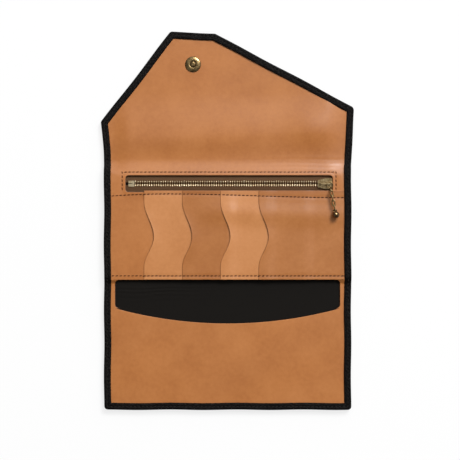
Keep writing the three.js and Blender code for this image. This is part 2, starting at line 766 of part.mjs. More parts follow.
// The leaves lie like roof tiles: each rests on its right end, its free edge over the one before.
function buildLeaves() {
  const tones = ['tanLeafLight', 'tanLeafDark', 'tanLeafLight', 'tanLeather'];
  for (let i = 0; i < leafCount; i += 1) {
    const geometry = new THREE.ExtrudeGeometry(leafShape(), {
      depth: leafThickness,
      bevelEnabled: false,
      curveSegments: 8,
    });
    const leaf = addPiece(`card_leaf_${i + 1}`, solid(geometry), tones[i % tones.length]);
    const rightX = leafRightX - (leafCount - 1 - i) * leafPitch;
    leaf.position.set(rightX, 0, innerFace + basePanelTop + gap);
    leaf.rotation.y = leafTilt;
  }
}

// Snap fastener: stud and cap on the flap, socket and rivet on the front panel.
function buildSnap() {
  const rim = snapDiameter / 2;
  const neck = studNeckDiameter / 2;
  const knob = studKnobDiameter / 2;
  const post = snapPostDiameter / 2;
  const seat = flapLiningTop + gap;
  const recess = post + gap;
  const head = seat + studHeight;
  const stud = turned([
    [0, seat + postSink + gap], [recess, seat + postSink + gap], [recess, seat], [rim, seat],
    [rim, seat + snapRim], [rim - 1, seat + snapDome - 0.1], [rim - 2.4, seat + snapDome],
    [neck + 0.6, seat + snapRim], [neck, seat + snapRim + 0.3], [neck, head - 0.9],
    [knob, head - 0.6], [knob - 0.2, head - 0.2], [knob - 0.9, head], [0, head],
  ], snapX, snapY, snapFacets);
  addPiece('snap_stud', stud, 'darkBrass');

  const capSeat = -coverThickness - gap;
  const cap = turned([
    [0, capSeat - capHeight], [rim * 0.5, capSeat - capHeight * 0.9],
    [rim * 0.85, capSeat - capHeight * 0.6], [rim, capSeat - capHeight * 0.2], [rim, capSeat],
    [post, capSeat], [post, seat + postSink], [0, seat + postSink],
  ], snapX, snapY, snapFacets);
  addPiece('snap_cap', cap, 'darkBrass');

  const bore = knob + gap;
  const mouth = capSeat - socketHeight;
  const socket = turned([
    [recess, capSeat], [rim, capSeat], [rim, capSeat - snapRim], [rim - 1.2, mouth + 0.3],
    [bore + 1, mouth], [bore + 0.1, mouth], [bore, mouth + 0.2], [bore, capSeat - socketBase],
    [recess, capSeat - socketBase], [recess, capSeat],
  ], snapX, socketY, snapFacets);
  addPiece('snap_socket', socket, 'darkBrass');

  const rivet = rivetDiameter / 2;
  const disc = turned([
    [0, capSeat - socketBase], [post, capSeat - socketBase], [post, -rivetThickness],
    [rivet, -rivetThickness], [rivet, 0], [0, 0],
  ], snapX, socketY, snapFacets);
  addPiece('snap_rivet', disc, 'darkBrass');
}

buildCovers();
buildFlapLinings();
buildFrontPocket();
buildZipBag();
buildZip();
buildBasePanel();
buildLeaves();
buildSlider();
buildPull();
buildSnap();

export default wallet;
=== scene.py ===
"""Looks of a long leather wallet that lies open on its outside, seen from straight above.

Lengths are worked out in millimetres and turned to metres when a mesh is made.
"""
import json
import logging
import math
from collections.abc import Callable
from dataclasses import dataclass
from enum import Enum

import bmesh
import bpy
import numpy as np
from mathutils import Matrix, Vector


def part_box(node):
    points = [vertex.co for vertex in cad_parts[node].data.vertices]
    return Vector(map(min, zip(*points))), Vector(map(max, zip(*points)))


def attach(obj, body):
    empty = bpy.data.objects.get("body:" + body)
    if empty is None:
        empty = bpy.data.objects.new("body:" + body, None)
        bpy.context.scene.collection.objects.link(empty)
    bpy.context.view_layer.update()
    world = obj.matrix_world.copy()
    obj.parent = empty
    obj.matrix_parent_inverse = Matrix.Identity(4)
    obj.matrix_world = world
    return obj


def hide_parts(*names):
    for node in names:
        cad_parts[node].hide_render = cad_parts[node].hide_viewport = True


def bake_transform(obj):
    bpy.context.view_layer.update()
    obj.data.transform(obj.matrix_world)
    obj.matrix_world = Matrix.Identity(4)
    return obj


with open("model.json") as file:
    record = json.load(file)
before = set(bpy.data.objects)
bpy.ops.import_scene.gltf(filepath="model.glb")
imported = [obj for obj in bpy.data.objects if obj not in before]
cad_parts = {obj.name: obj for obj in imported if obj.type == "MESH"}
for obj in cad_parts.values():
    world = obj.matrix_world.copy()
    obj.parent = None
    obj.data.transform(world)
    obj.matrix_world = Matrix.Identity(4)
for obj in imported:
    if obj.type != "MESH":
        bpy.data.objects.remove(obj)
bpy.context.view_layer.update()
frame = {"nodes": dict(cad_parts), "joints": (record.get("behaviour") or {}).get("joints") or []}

MM = 0.001
LOG = logging.getLogger("wallet")
Colour = tuple[float, float, float]
Source = bpy.types.NodeSocket | float | tuple
Pair = tuple[np.ndarray, np.ndarray]
# Tint multiplied into a leather where it is marked darker: painted shade on slopes and in seam
# grooves, and uneven tone.
DARKENING_TINT = (0.87, 0.83, 0.79)


class Grain(Enum):
    """How the surface of a leather is grained."""

    SMOOTH = "smooth"
    PEBBLED = "pebbled"


@dataclass(frozen=True)
class LeatherFinish:
    """A leather's colours, gloss and grain.

    Colours are sRGB values from 0 to 1. Grain sizes and depths are in millimetres.
    """

    name: str
    colour: Colour
    dark: Colour
    light: Colour
    edge: Colour
    roughness: float
    grain: Grain
    grain_size: float
    grain_depth: float
    mottle_size: float = 26.0
    gloss: float = 0.45


@dataclass(frozen=True)
class MetalFinish:
    """An aged metal: its rubbed colour, its patina and how rough it is."""

    name: str
    rubbed: Colour
    patina: Colour
    roughness: float
    patina_size: float = 1.6


@dataclass(frozen=True)
class ClothFinish:
    """A woven cloth: the colours of its two threads, its pitch and its relief in millimetres."""

    name: str
    colour: Colour
    shade: Colour
    pitch: float
    depth: float
    roughness: float = 0.85


TAN = LeatherFinish(
    "tan_leather", (0.685, 0.423, 0.195), (0.645, 0.387, 0.168), (0.715, 0.453, 0.222),
    (0.20, 0.075, 0.03), 0.44, Grain.SMOOTH, 0.9, 0.06,
)
TAN_LIGHT = LeatherFinish(
    "tan_leaf_light", (0.745, 0.49, 0.275), (0.71, 0.455, 0.243), (0.77, 0.516, 0.303),
    (0.22, 0.085, 0.035), 0.42, Grain.SMOOTH, 0.9, 0.05,
)
TAN_DARK = LeatherFinish(
    "tan_leaf_dark", (0.655, 0.405, 0.187), (0.62, 0.373, 0.164), (0.69, 0.438, 0.22),
    (0.19, 0.07, 0.028), 0.42, Grain.SMOOTH, 0.9, 0.05,
)
BLACK = LeatherFinish(
    "black_leather", (0.024, 0.016, 0.014), (0.008, 0.006, 0.005), (0.09, 0.076, 0.067),
    (0.03, 0.024, 0.02), 0.5, Grain.PEBBLED, 1.4, 0.5, 1.7, 0.085,
)
BRASS = MetalFinish("brass", (0.80, 0.69, 0.48), (0.27, 0.20, 0.12), 0.23)
DARK_BRASS = MetalFinish("dark_brass", (0.80, 0.69, 0.48), (0.20, 0.145, 0.085), 0.22, 2.2)
TEETH = MetalFinish("zip_brass", (1.0, 0.95, 0.82), (0.62, 0.52, 0.36), 0.26, 2.6)
SLIDER = MetalFinish("slider_brass", (0.95, 0.86, 0.66), (0.38, 0.29, 0.17), 0.24, 2.4)
# The ball is darker than the other brass: partly a browner patina, partly painted shade for the
# dark surroundings it mirrors.
BALL = MetalFinish("ball_brass", (0.66, 0.53, 0.37), (0.24, 0.17, 0.11), 0.15, 2.0)
TAPE = ClothFinish("brown_tape", (0.43, 0.315, 0.215), (0.24, 0.165, 0.11), 0.75, 0.14)
LINING = ClothFinish("black_cloth", (0.075, 0.06, 0.045), (0.035, 0.028, 0.02), 0.45, 0.05, 0.75)
BROWN_THREAD = ClothFinish("brown_thread", (0.27, 0.10, 0.05), (0.13, 0.045, 0.02), 0.3, 0.03)
BLACK_THREAD = ClothFinish("black_thread", (0.16, 0.145, 0.13), (0.07, 0.06, 0.05), 0.3, 0.03)


def linear(colour: Colour) -> tuple[float, float, float, float]:
    """Turns an sRGB colour into the linear one that a shader takes, with full alpha."""
    value = np.asarray(colour, float)
    low = value / 12.92
    high = ((value + 0.055) / 1.055) ** 2.4
    return (*np.where(value <= 0.04045, low, high).tolist(), 1.0)


class Nodes:
    """A short way to add nodes to a tree. Each input takes a value or another node's output."""

    def __init__(self, tree: bpy.types.NodeTree) -> None:
        """Clears the tree that the nodes go into."""
        self.tree = tree
        tree.nodes.clear()

    def feed(self, node: bpy.types.Node, values: dict) -> None:
        """Sets or joins a node's inputs, given by name or number."""
        for key, value in values.items():
            if isinstance(value, bpy.types.NodeSocket):
                self.tree.links.new(value, node.inputs[key])
            else:
                node.inputs[key].default_value = value

    def add(self, kind: str, values: dict | None = None, **settings: object) -> bpy.types.Node:
        """Adds a node.

        Args:
            kind: the node's type, without the word ShaderNode in front.
            values: what its inputs get, by name or number.
            settings: attributes of the node itself.

        Returns:
            The new node.
        """
        node = self.tree.nodes.new(kind if kind.startswith("NodeGroup") else f"ShaderNode{kind}")
        for key, value in settings.items():
            setattr(node, key, value)
        self.feed(node, values or {})
        return node

    def math(self, operation: str, first: Source, second: Source) -> bpy.types.NodeSocket:
        """Works out one number from two."""
        return self.add("Math", {0: first, 1: second}, operation=operation).outputs[0]

    def mix(
        self, share: Source, first: Source, second: Source, **settings: str,
    ) -> bpy.types.NodeSocket:
        """Mixes the first input towards the second, as colours where share is of colours."""
        values = {"Factor": share, "A": first, "B": second}
        return self.add("Mix", values, **settings).outputs["Result"]

    def span(
        self, value: Source, low: float, high: float, start: float = 0.0, end: float = 1.0,
        **settings: str,
    ) -> bpy.types.NodeSocket:
        """Maps a value from the range low to high on to the range start to end."""
        values = {"Value": value, "From Min": low, "From Max": high, "To Min": start,
                  "To Max": end}
        return self.add("MapRange", values, **settings).outputs["Result"]

    def noise(
        self, place: Source, scale: Source, detail: float = 2.0, roughness: float = 0.5,
    ) -> bpy.types.Node:
        """Adds a noise."""
        return self.add("TexNoise", {"Vector": place, "Scale": scale, "Detail": detail,
                                     "Roughness": roughness})

    def relief(self, height: Source, strength: float, depth: float) -> bpy.types.NodeSocket:
        """Turns a height into a bumped normal. The depth is in millimetres."""
        values = {"Height": height, "Strength": strength, "Distance": depth * MM}
        return self.add("Bump", values).outputs["Normal"]


def group_mottle() -> bpy.types.NodeTree:
    """Builds the shared group that mottles a surface.

    A broad noise and a finer one are averaged; the result drives a three-colour ramp made of
    two mixes, dark to middle and middle to light.

    Returns:
        The node group, with colour and mask outputs.
    """
    tree = bpy.data.node_groups.new("mottle", "ShaderNodeTree")
    for name, kind, way in (
        ("Vector", "Vector", "INPUT"), ("Scale", "Float", "INPUT"), ("Dark", "Color", "INPUT"),
        ("Middle", "Color", "INPUT"), ("Light", "Color", "INPUT"),
        ("Color", "Color", "OUTPUT"), ("Mask", "Float", "OUTPUT"),
    ):
        tree.interface.new_socket(name, in_out=way, socket_type=f"NodeSocket{kind}")
    n = Nodes(tree)
    given = n.add("NodeGroupInput").outputs
    place, scale = given["Vector"], given["Scale"]
    broad = n.noise(place, scale, 4.0, 0.6).outputs["Fac"]
    fine = n.noise(place, n.math("MULTIPLY", scale, 9.0), 5.0, 0.65).outputs["Fac"]
    mask = n.mix(0.4, broad, fine)
    first = n.mix(n.span(mask, 0.32, 0.5), given["Dark"], given["Middle"], data_type="RGBA")
    colour = n.mix(n.span(mask, 0.5, 0.68), first, given["Light"], data_type="RGBA")
    n.add("NodeGroupOutput", {"Color": colour, "Mask": mask})
    return tree


class Palette:
    """Makes each finish's material once and hands it out."""

    def __init__(self) -> None:
        """Builds the shared group and starts with no materials."""
        self.mottle = group_mottle()
        self.made: dict[str, bpy.types.Material] = {}

    def start(self, name: str) -> tuple[Nodes, bpy.types.Node, bpy.types.NodeSocket]:
        """Starts a material with a Principled BSDF and Object coordinates, and keeps it."""
        material = bpy.data.materials.new(name)
        material.use_nodes = True
        n = Nodes(material.node_tree)
        shader = n.add("BsdfPrincipled")
        n.add("OutputMaterial", {"Surface": shader.outputs["BSDF"]})
        self.made[name] = material
        return n, shader, n.add("TexCoord").outputs["Object"]

    def mottled(
        self, n: Nodes, place: bpy.types.NodeSocket, size: float, dark: Colour, middle: Colour,
        light: Colour,
    ) -> tuple[bpy.types.NodeSocket, bpy.types.NodeSocket]:
        """Adds the mottle group for patches of the given size in millimetres."""
        group = n.add("Group", node_tree=self.mottle)
        n.feed(group, {"Vector": place, "Scale": 1 / (size * MM), "Dark": linear(dark),
                       "Middle": linear(middle), "Light": linear(light)})
        return group.outputs["Color"], group.outputs["Mask"]

    def leather(self, finish: LeatherFinish) -> bpy.types.Material:
        """Makes a leather: mottled colour, darkened by painted shade and uneven tone where marked,
        darker cut edges, grain and pores as relief.
        """
        if finish.name in self.made:
            return self.made[finish.name]
        n, shader, place = self.start(finish.name)
        colour, mask = self.mottled(
            n, place, finish.mottle_size, finish.dark, finish.colour, finish.light,
        )
        # The marked darkening is painted shade on the slope above the upper fold and in seam
        # grooves, and uneven tone.
        darkening = n.add("Attribute", attribute_name="burnish").outputs["Fac"]
        edge = n.add("Attribute", attribute_name="cut_edge").outputs["Fac"]
        shade = n.mix(darkening, colour, linear(DARKENING_TINT), data_type="RGBA", blend_type="MULTIPLY")
        size = finish.grain_size * MM
        waves = n.noise(place, 0.5 / size).outputs["Color"]
        shift = n.add("VectorMath", {0: waves, "Scale": 4 * size}, operation="SCALE").outputs[0]
        bent = n.add("VectorMath", {0: place, 1: shift}, operation="ADD").outputs[0]
        cells = n.add("TexVoronoi", {"Scale": 1 / size, "Vector": bent}).outputs["Distance"]
        pores = n.noise(place, 2.2 / size, 4.0).outputs["Fac"]
        pebbled = finish.grain is Grain.PEBBLED
        n.feed(shader, {
            "Base Color": n.mix(edge, shade, linear(finish.edge), data_type="RGBA"),
            "Roughness": n.span(mask, 0.3, 0.7, finish.roughness - 0.07, finish.roughness + 0.08),
            "Normal": n.relief(n.mix(0.25 if pebbled else 0.7, cells, pores), 0.9,
                               finish.grain_depth),
            "Specular IOR Level": finish.gloss,
            "Coat Weight": 0.0 if pebbled else 0.28,
            "Coat Roughness": 0.22,
        })
        return self.made[finish.name]

    def metal(
        self, finish: MetalFinish, darkening: tuple[float, float] | None = None,
    ) -> bpy.types.Material:
        """Makes an aged metal: rubbed colour with patches of patina, fine scratches and, where
        heights are given, painted shade low down.

        Args:
            finish: the metal's finish.
            darkening: heights in millimetres between which it goes from painted shade to its
                rubbed colour.

        Returns:
            The material.
        """
        if finish.name in self.made:
            return self.made[finish.name]
        n, shader, place = self.start(finish.name)
        middle = tuple((a + b) / 2 for a, b in zip(finish.rubbed, finish.patina))
        colour, mask = self.mottled(
            n, place, finish.patina_size, finish.patina, middle, finish.rubbed,
        )
        # Below the given heights the colour is painted darker: painted shade in the gaps between
        # the teeth and under the slider's bridge.
        if darkening:
            height = n.add("SeparateXYZ", {0: place}).outputs["Z"]
            share = n.span(height, darkening[0] * MM, darkening[1] * MM)
            painted_low_shade = linear(tuple(0.45 * c for c in finish.patina))
            colour = n.mix(share, painted_low_shade, colour, data_type="RGBA")
        rough = n.span(mask, 0.3, 0.7, finish.roughness + 0.22, finish.roughness - 0.05)
        scratch = n.noise(place, 4000.0, 3.0).outputs["Fac"]
        n.feed(shader, {"Base Color": colour, "Roughness": rough, "Metallic": 1.0,
                        "Normal": n.relief(scratch, 0.35, 0.02)})
        return self.made[finish.name]

    def cloth(self, finish: ClothFinish) -> bpy.types.Material:
        """Makes a woven cloth: two crossing sets of bands give its colour and its relief."""
        if finish.name in self.made:
            return self.made[finish.name]
        n, shader, place = self.start(finish.name)
        bands = {"Vector": place, "Scale": 1 / (finish.pitch * MM) / 3.2, "Distortion": 0.6,
                 "Detail": 1.0}
        warp, weft = (n.add("TexWave", bands, bands_direction=way).outputs["Fac"]
                      for way in ("X", "Y"))
        weave = n.math("MULTIPLY", warp, weft)
        lift = n.span(weave, 0.0, 0.6, 0.25)
        tint = n.mix(lift, linear(finish.shade), linear(finish.colour), data_type="RGBA")
        n.feed(shader, {
            "Base Color": tint, "Normal": n.relief(weave, 0.9, finish.depth),
            "Roughness": finish.roughness, "Specular IOR Level": 0.12, "Sheen Weight": 0.04,
        })
        return self.made[finish.name]


def joint_place(name: str, axis: int) -> float:
    """Gives one coordinate, in millimetres, of a joint's axis in the frame."""
    joint = next(item for item in frame["joints"] if item["name"] == name)
    return joint["pos_m"][axis] / MM


def node_edge(node: str, end: int, axis: int) -> float:
    """Gives one side of a CAD node's box in millimetres. end is 0 for its low side, 1 for high."""
    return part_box(node)[end][axis] / MM


def node_middle(node: str, axis: int) -> float:
    """Gives the middle of a CAD node's box in millimetres."""
    return (node_edge(node, 0, axis) + node_edge(node, 1, axis)) / 2


@dataclass(frozen=True)
class Measures:
    """Sizes and places that all the pieces share, in millimetres, read from the frame."""

    front_fold: float = joint_place("front_fold_outer", 1)
    lower_fold: float = joint_place("front_fold", 1)
    upper_fold: float = joint_place("flap_fold", 1)
    flap_fold: float = joint_place("flap_fold_outer", 1)
    inner_face: float = joint_place("front_fold", 2)
    half_width: float = node_edge("cover_back", 1, 0)
    front_edge: float = node_edge("cover_front", 0, 1)
    flap_tip: float = node_edge("cover_flap", 1, 1)
    cover_low: float = node_edge("cover_back", 0, 2)
    back_hem: float = node_edge("cover_back", 1, 2)
    front_hem: float = node_edge("cover_front", 1, 2)
    flap_hem: float = node_edge("cover_flap", 1, 2)
    base_top: float = node_edge("card_base_panel", 1, 2)
    base_low: float = node_edge("card_base_panel", 0, 2)
    base_bottom: float = node_edge("card_base_panel", 0, 1)
    base_upper: float = node_edge("card_base_panel", 1, 1)
    lining_top: float = node_edge("flap_lining", 1, 2)
    cloth_top: float = node_edge("bill_lining_front", 1, 2)
    pocket_top: float = node_edge("front_pocket_panel", 1, 2)
    pocket_upper: float = node_edge("front_pocket_panel", 1, 1)
    strip_inner: float = node_edge("mouth_strip_right", 0, 0)
    leaf_top: float = node_edge("card_leaf_4", 1, 1)
    hem: float = 5.5
    zip_y: float = (node_edge("zip_teeth_upper", 1, 1) + node_edge("zip_teeth_lower", 0, 1)) / 2

    @property
    def lower_middle(self) -> float:
        """Middle of the lower spine, where two pieces meet."""
        return (self.front_fold + self.lower_fold) / 2

    @property
    def upper_middle(self) -> float:
        """Middle of the upper spine, where two pieces meet."""
        return (self.upper_fold + self.flap_fold) / 2


M = Measures()
# Outline of the flap and rounding of the cover's corners, in millimetres.
FLAP_LENGTH = 82.7
FLAP_ROOT_HALF = 98.5
SHOULDER_HALF = 100.0
LEFT_SHOULDER_RISE = 11.5
RIGHT_SHOULDER_RISE = 22.8
TIP_LEFT_X = -45.1
TIP_RIGHT_X = -9.9
TIP_RIGHT_DROP = 1.4
SHOULDER_RADIUS = 4.0
TIP_RADIUS = 3.0
FRONT_RADIUS = 3.2
# How far a bend reaches out from its fold, a value that bend takes but does not use, and where the
# pieces meet.
BLEND_REACH = 5.0
BACK_SPLIT = 0.0
PANEL_UPPER = M.zip_y + 10.6
PANEL_LOWER = M.base_bottom - 0.7
POCKET_UPPER = M.pocket_upper + 0.7


def smooth_step(value: np.ndarray | float, low: float, high: float) -> np.ndarray:
    """Rises smoothly from 0 at low to 1 at high: 3 t squared less 2 t cubed."""
    t = np.clip((np.asarray(value, float) - low) / (high - low), 0, 1)
    return t * t * (3 - 2 * t)


def dent(value: np.ndarray, centre: float, width: float) -> np.ndarray:
    """A smooth dent of depth 1 at centre: e to the power of minus the squared distance."""
    return np.exp(-(((value - centre) / width) ** 2))


def ripple(x: np.ndarray, y: np.ndarray, size: float, phase: float) -> np.ndarray:
    """A gentle unevenness between -1 and 1: the mean of three slanted sine waves."""
    first = np.sin((x * 0.8 + y * 0.6) / size + phase)
    second = np.sin((x * -0.35 + y * 0.95) / (size * 0.62) + 1.7 * phase + 1.0)
    third = np.sin((x * 0.55 - y * 0.83) / (size * 0.41) + 2.3 * phase + 2.0)
    return (first + second + third) / 3


def add_object(name: str, data: bpy.types.ID) -> bpy.types.Object:
    """Makes an object of a mesh, a camera or a light, and puts it into the scene."""
    thing = bpy.data.objects.new(name, data)
    bpy.context.scene.collection.objects.link(thing)
    return thing


def finish_mesh(
    name: str, points: np.ndarray, faces: np.ndarray, material: bpy.types.Material,
    edges: np.ndarray | None = None, burnish: np.ndarray | None = None,
) -> bpy.types.Object:
    """Makes an object from points in millimetres and quads or triangles.

    Args:
        name: the piece's name.
        points: an array of n by 3 places in millimetres.
        faces: an array of corner numbers, one row a face.
        material: the piece's material.
        edges: how much each point lies on a cut edge, from 0 to 1.
        burnish: how much each point is darkened, by painted shade and by uneven tone, from 0 to 1.

    Returns:
        The object, smooth shaded with its sharp corners kept.
    """
    mesh = bpy.data.meshes.new(name)
    mesh.from_pydata((points * MM).tolist(), [], faces.tolist())
    for label, values in (("cut_edge", edges), ("burnish", burnish)):
        if values is not None:
            attribute = mesh.attributes.new(label, "FLOAT", "POINT")
            attribute.data.foreach_set("value", values.astype(np.float32))
    shell = bmesh.new()
    shell.from_mesh(mesh)
    bmesh.ops.remove_doubles(shell, verts=shell.verts, dist=0.002 * MM)
    bmesh.ops.recalc_face_normals(shell, faces=shell.faces)
    shell.to_mesh(mesh)
    shell.free()
    mesh.polygons.foreach_set("use_smooth", [True] * len(mesh.polygons))
    mesh.set_sharp_from_angle(angle=math.radians(42))
    mesh.materials.append(material)
    return add_object(name, mesh)


def seat(piece: bpy.types.Object, body: str, slot: str, *nodes: str) -> None:
    """Lets a finished piece ride on a body, in place of CAD nodes."""
    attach(piece, body)
    if nodes:
        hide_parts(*nodes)
    LOG.info("%s rides on %s", piece.name, body)


def bend(
    piece: bpy.types.Object, bodies: tuple[str, str], fold: float, slot: str, *nodes: str,
    before: float = BLEND_REACH, after: float = BLEND_REACH,
) -> None:
    """Applies the transform of a finished piece that lies across a fold, in place of CAD nodes.

    Args:
        piece: the piece.
        bodies: the two bodies that it lies across, lower one first, which are only named in the
            log.
        fold: place of the fold along Y, in millimetres; not used.
        slot: its material slot; not used.
        nodes: the CAD nodes that it stands for.
        before: how far below the fold the bend starts; not used.
        after: how far above the fold the bend ends; not used.
    """
    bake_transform(piece)
    if nodes:
        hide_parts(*nodes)
    LOG.info("%s bends between %s and %s", piece.name, *bodies)


def grid_faces(rows: int, columns: int, wrap: bool) -> np.ndarray:
    """Numbers the quads of a grid of points, each row closed on itself where wrapped."""
    r, c = np.meshgrid(
        np.arange(rows - 1), np.arange(columns if wrap else columns - 1), indexing="ij",
    )
    here, beside = r * columns + c, r * columns + (c + 1) % columns
    return np.stack([here, beside, beside + columns, here + columns], -1).reshape(-1, 4)


def copies(unit: np.ndarray, places: np.ndarray, faces: np.ndarray) -> Pair:
    """Repeats a shape at many places.

    Args:
        unit: the shape's points, one set for all places or a set for each place.
        places: where each copy goes.
        faces: corner numbers of the shape's faces.

    Returns:
        The points and the faces of all the copies.
    """
    points = places[:, None, :] + unit
    steps = np.arange(len(places))[:, None, None] * points.shape[1]
    return points.reshape(-1, 3), (faces[None] + steps).reshape(-1, faces.shape[1])


def across(y: np.ndarray, left: np.ndarray, right: np.ndarray, share: np.ndarray) -> Pair:
    """Lays a grid from a left to a right edge: rows at y, columns at shares of the way."""
    x = left[:, None] + (right - left)[:, None] * share
    return x, np.repeat(y[:, None], len(share), 1)


def slab(
    name: str, x: np.ndarray, y: np.ndarray, top: np.ndarray, low: np.ndarray,
    material: bpy.types.Material, edges: np.ndarray | None = None, ring: bool = False,
    burnish: np.ndarray | None = None,
) -> bpy.types.Object:
    """Makes a closed sheet from a grid of places and the heights of its two faces.

    The upper and the lower face are the same grid at two heights, and strips of quads join
    them all round. Where ring is set, each row closes on itself and the sheet has a hole.

    Args:
        name: the piece's name.
        x: across, one value a grid point.
        y: along, one value a grid point.
        top: height of the upper face.
        low: height of the lower face.
        material: the piece's material.
        edges: how much each grid point lies on a cut edge.
        ring: whether the rows close on themselves.
        burnish: how much each grid point is darkened, by painted shade and by uneven tone.

    Returns:
        The new object.
    """
    rows, columns = x.shape
    count = rows * columns
    upper = np.stack([x, y, top], -1).reshape(-1, 3)
    lower = np.stack([x, y, low], -1).reshape(-1, 3)
    faces = grid_faces(rows, columns, ring)
    number = np.arange(count).reshape(rows, columns)
    loops = [number[0], number[-1]] if ring else [
        np.concatenate([number[0, :-1], number[:-1, -1], number[-1, :0:-1], number[:0:-1, 0]]),
    ]
    walls = []
    for loop in loops:
        after = np.roll(loop, -1)
        walls.append(np.stack([loop, loop + count, after + count, after], -1))
    all_faces = np.concatenate([faces, faces[:, ::-1] + count, *walls])
    marks = [None if m is None else np.tile(m.ravel(), 2) for m in (edges, burnish)]
    return finish_mesh(name, np.concatenate([upper, lower]), all_faces, material, *marks)


def spaced(start: float, end: float, step: float, fine: tuple[float, ...] = ()) -> np.ndarray:
    """Places from start to end about a step apart, with fine steps in from both ends."""
    inner = fine[-1] if fine else 0.0
    count = max(2, int(round((end - start - 2 * inner) / step)) + 1)
    middle = np.linspace(start + inner, end - inner, count)
    head = [start + f for f in fine[:-1]]
    tail = [end - f for f in fine[-2::-1]]
    return np.concatenate([head, middle, tail])


EDGE_STEPS = (0.0, 0.05, 0.16, 0.34, 0.7, 1.4)


def round_edge(distance: np.ndarray, radius: float = 0.3) -> np.ndarray:
    """How full a sheet is at a distance in from its edge: a quarter circle from 0.25 to 1."""
    t = np.clip(1 - distance / radius, 0, 1)
    return 0.25 + 0.75 * np.sqrt(1 - t * t)


def cut_sheet(
    name: str, x: np.ndarray, y: np.ndarray, middle: np.ndarray | float, thickness: float,
    from_edge: np.ndarray, material: bpy.types.Material, relief: np.ndarray | float = 0.0,
    **marks: object,
) -> bpy.types.Object:
    """Makes a sheet with a rounded cut edge, where its two faces close in on the middle.

    Args:
        name: the piece's name.
        x: across, one value a grid point.
        y: along, one value a grid point.
        middle: height half way between the two faces.
        thickness: how far apart the faces are away from the edge.
        from_edge: how far each grid point lies in from the cut edge.
        material: the piece's material.
        relief: what is added to the upper face alone.
        marks: what else the slab takes: edges, ring and burnish.

    Returns:
        The new object.
    """
    half = thickness / 2 * round_edge(from_edge)
    return slab(name, x, y, middle + half + relief, middle - half, material, **marks)


def offset_path(corners: np.ndarray, inset: float) -> np.ndarray:
    """Moves an open path to its left by inset, each corner to where its two sides then meet.

    The two ends slide along X, so that pieces that meet there still meet.
    """
    side = np.diff(corners, axis=0)
    side = side / np.linalg.norm(side, axis=1)[:, None]
    normal = np.stack([-side[:, 1], side[:, 0]], -1)
    mean = normal[:-1] + normal[1:]
    mean = mean / np.sum(mean * normal[1:], axis=1)[:, None]
    ends = [[[1 / n[0], 0.0]] for n in (normal[0], normal[-1])]
    shift = np.concatenate([ends[0], mean, ends[1]])
    return corners + shift * inset


def corner_curve(
    start: np.ndarray, corner: np.ndarray, end: np.ndarray, count: int,
) -> np.ndarray:
    """Samples a quadratic curve from start to end that is drawn towards a corner."""
    t = np.linspace(0, 1, count)[:, None]
    return (1 - t) ** 2 * start + 2 * t * (1 - t) * corner + t**2 * end


def rounded_path(
    corners: np.ndarray, radii: list[float], counts: list[int], closed: bool = False,
) -> np.ndarray:
    """Samples a path with rounded corners, each a quadratic curve between its two cuts.

    Args:
        corners: the path's corners.
        radii: one rounding radius a corner.
        counts: how many samples each straight stretch gets.
        closed: whether the path ends where it starts.

    Returns:
        An array of places.
    """
    total = len(corners)
    cuts = []
    for i in range(total):
        before = corners[i - 1] - corners[i]
        after = corners[(i + 1) % total] - corners[i]
        cosine = before @ after / (np.linalg.norm(before) * np.linalg.norm(after))
        cuts.append(radii[i] * math.tan((math.pi - math.acos(np.clip(cosine, -1, 1))) / 2)
                    if radii[i] > 0 else 0.0)
    parts = []
    for i in range(total if closed else total - 1):
        j = (i + 1) % total
        along = (corners[j] - corners[i]) / np.linalg.norm(corners[j] - corners[i])
        start, end = corners[i] + along * cuts[i], corners[j] - along * cuts[j]
        t = np.linspace(0, 1, counts[i])[:, None]
        parts.append(start + (end - start) * t)
        if cuts[j] > 0 and (closed or j < total - 1):
            onward = corners[(j + 1) % total] - corners[j]
            leave = corners[j] + onward / np.linalg.norm(onward) * cuts[j]
            parts.append(corner_curve(end, corners[j], leave, 7)[1:-1])
    return np.concatenate(parts)


def stretch_counts(corners: np.ndarray, step: float, closed: bool = False) -> list[int]:
    """How many samples each stretch of a path gets at about the given step."""
    ends = np.roll(corners, -1, axis=0) if closed else corners[1:]
    starts = corners if closed else corners[:-1]
    lengths = np.linalg.norm(ends - starts, axis=1)
    return [max(2, int(length / step)) for length in lengths]


def hem_height(y: np.ndarray) -> np.ndarray:
    """Height of the turned edge's top along the wallet, stepping smoothly at the two folds."""
    rise = smooth_step(y, M.lower_fold - 1.5, M.base_bottom + 1.5)
    fall = smooth_step(y, M.base_upper - 1.0, M.upper_fold + 2.5)
    return M.front_hem + (M.back_hem - M.front_hem) * rise + (M.flap_hem - M.back_hem) * fall


# Section of the turned edge: share of the way in, height over the cover's underside, and
# how much of the rise to the hem's top is taken. It starts under the wallet and goes round
# the outer edge, over the top and back under the hem.
HEM_SECTION = np.array([
    [5.0, 0.0, 0], [3.0, 0.0, 0], [1.2, 0.0, 0], [0.55, 0.1, 0], [0.15, 0.35, 0],
    [0.0, 0.8, 0], [0.0, 0.0, 0.55], [0.0, -0.75, 1], [0.12, -0.4, 1], [0.4, -0.14, 1],
    [0.9, 0.0, 1], [1.7, 0.03, 1], [2.15, -0.03, 1], [2.5, -0.16, 1], [2.85, -0.03, 1],
    [3.4, 0.02, 1], [4.5, -0.02, 1], [5.1, -0.12, 1], [5.4, -0.3, 1], [5.5, -0.55, 1],
    [5.5, -0.85, 1], [5.3, -0.9, 1], [1.3, -0.9, 1], [1.2, 1.15, 0], [5.0, 1.15, 0],
])


def body_sides(y: np.ndarray, inset: float) -> Pair:
    """Left and right edge of the body at y, moved in by inset."""
    return -body_half(y) + inset, body_half(y) - inset


def flap_sides(y: np.ndarray, inset: float) -> Pair:
    """Reads the flap's two edges off its inset outline at each y."""
    corners = offset_path(flap_corners(M.upper_middle), inset)
    right, left = corners[:4], corners[:2:-1]
    return np.interp(y, left[:, 1], left[:, 0]), np.interp(y, right[:, 1], right[:, 0])


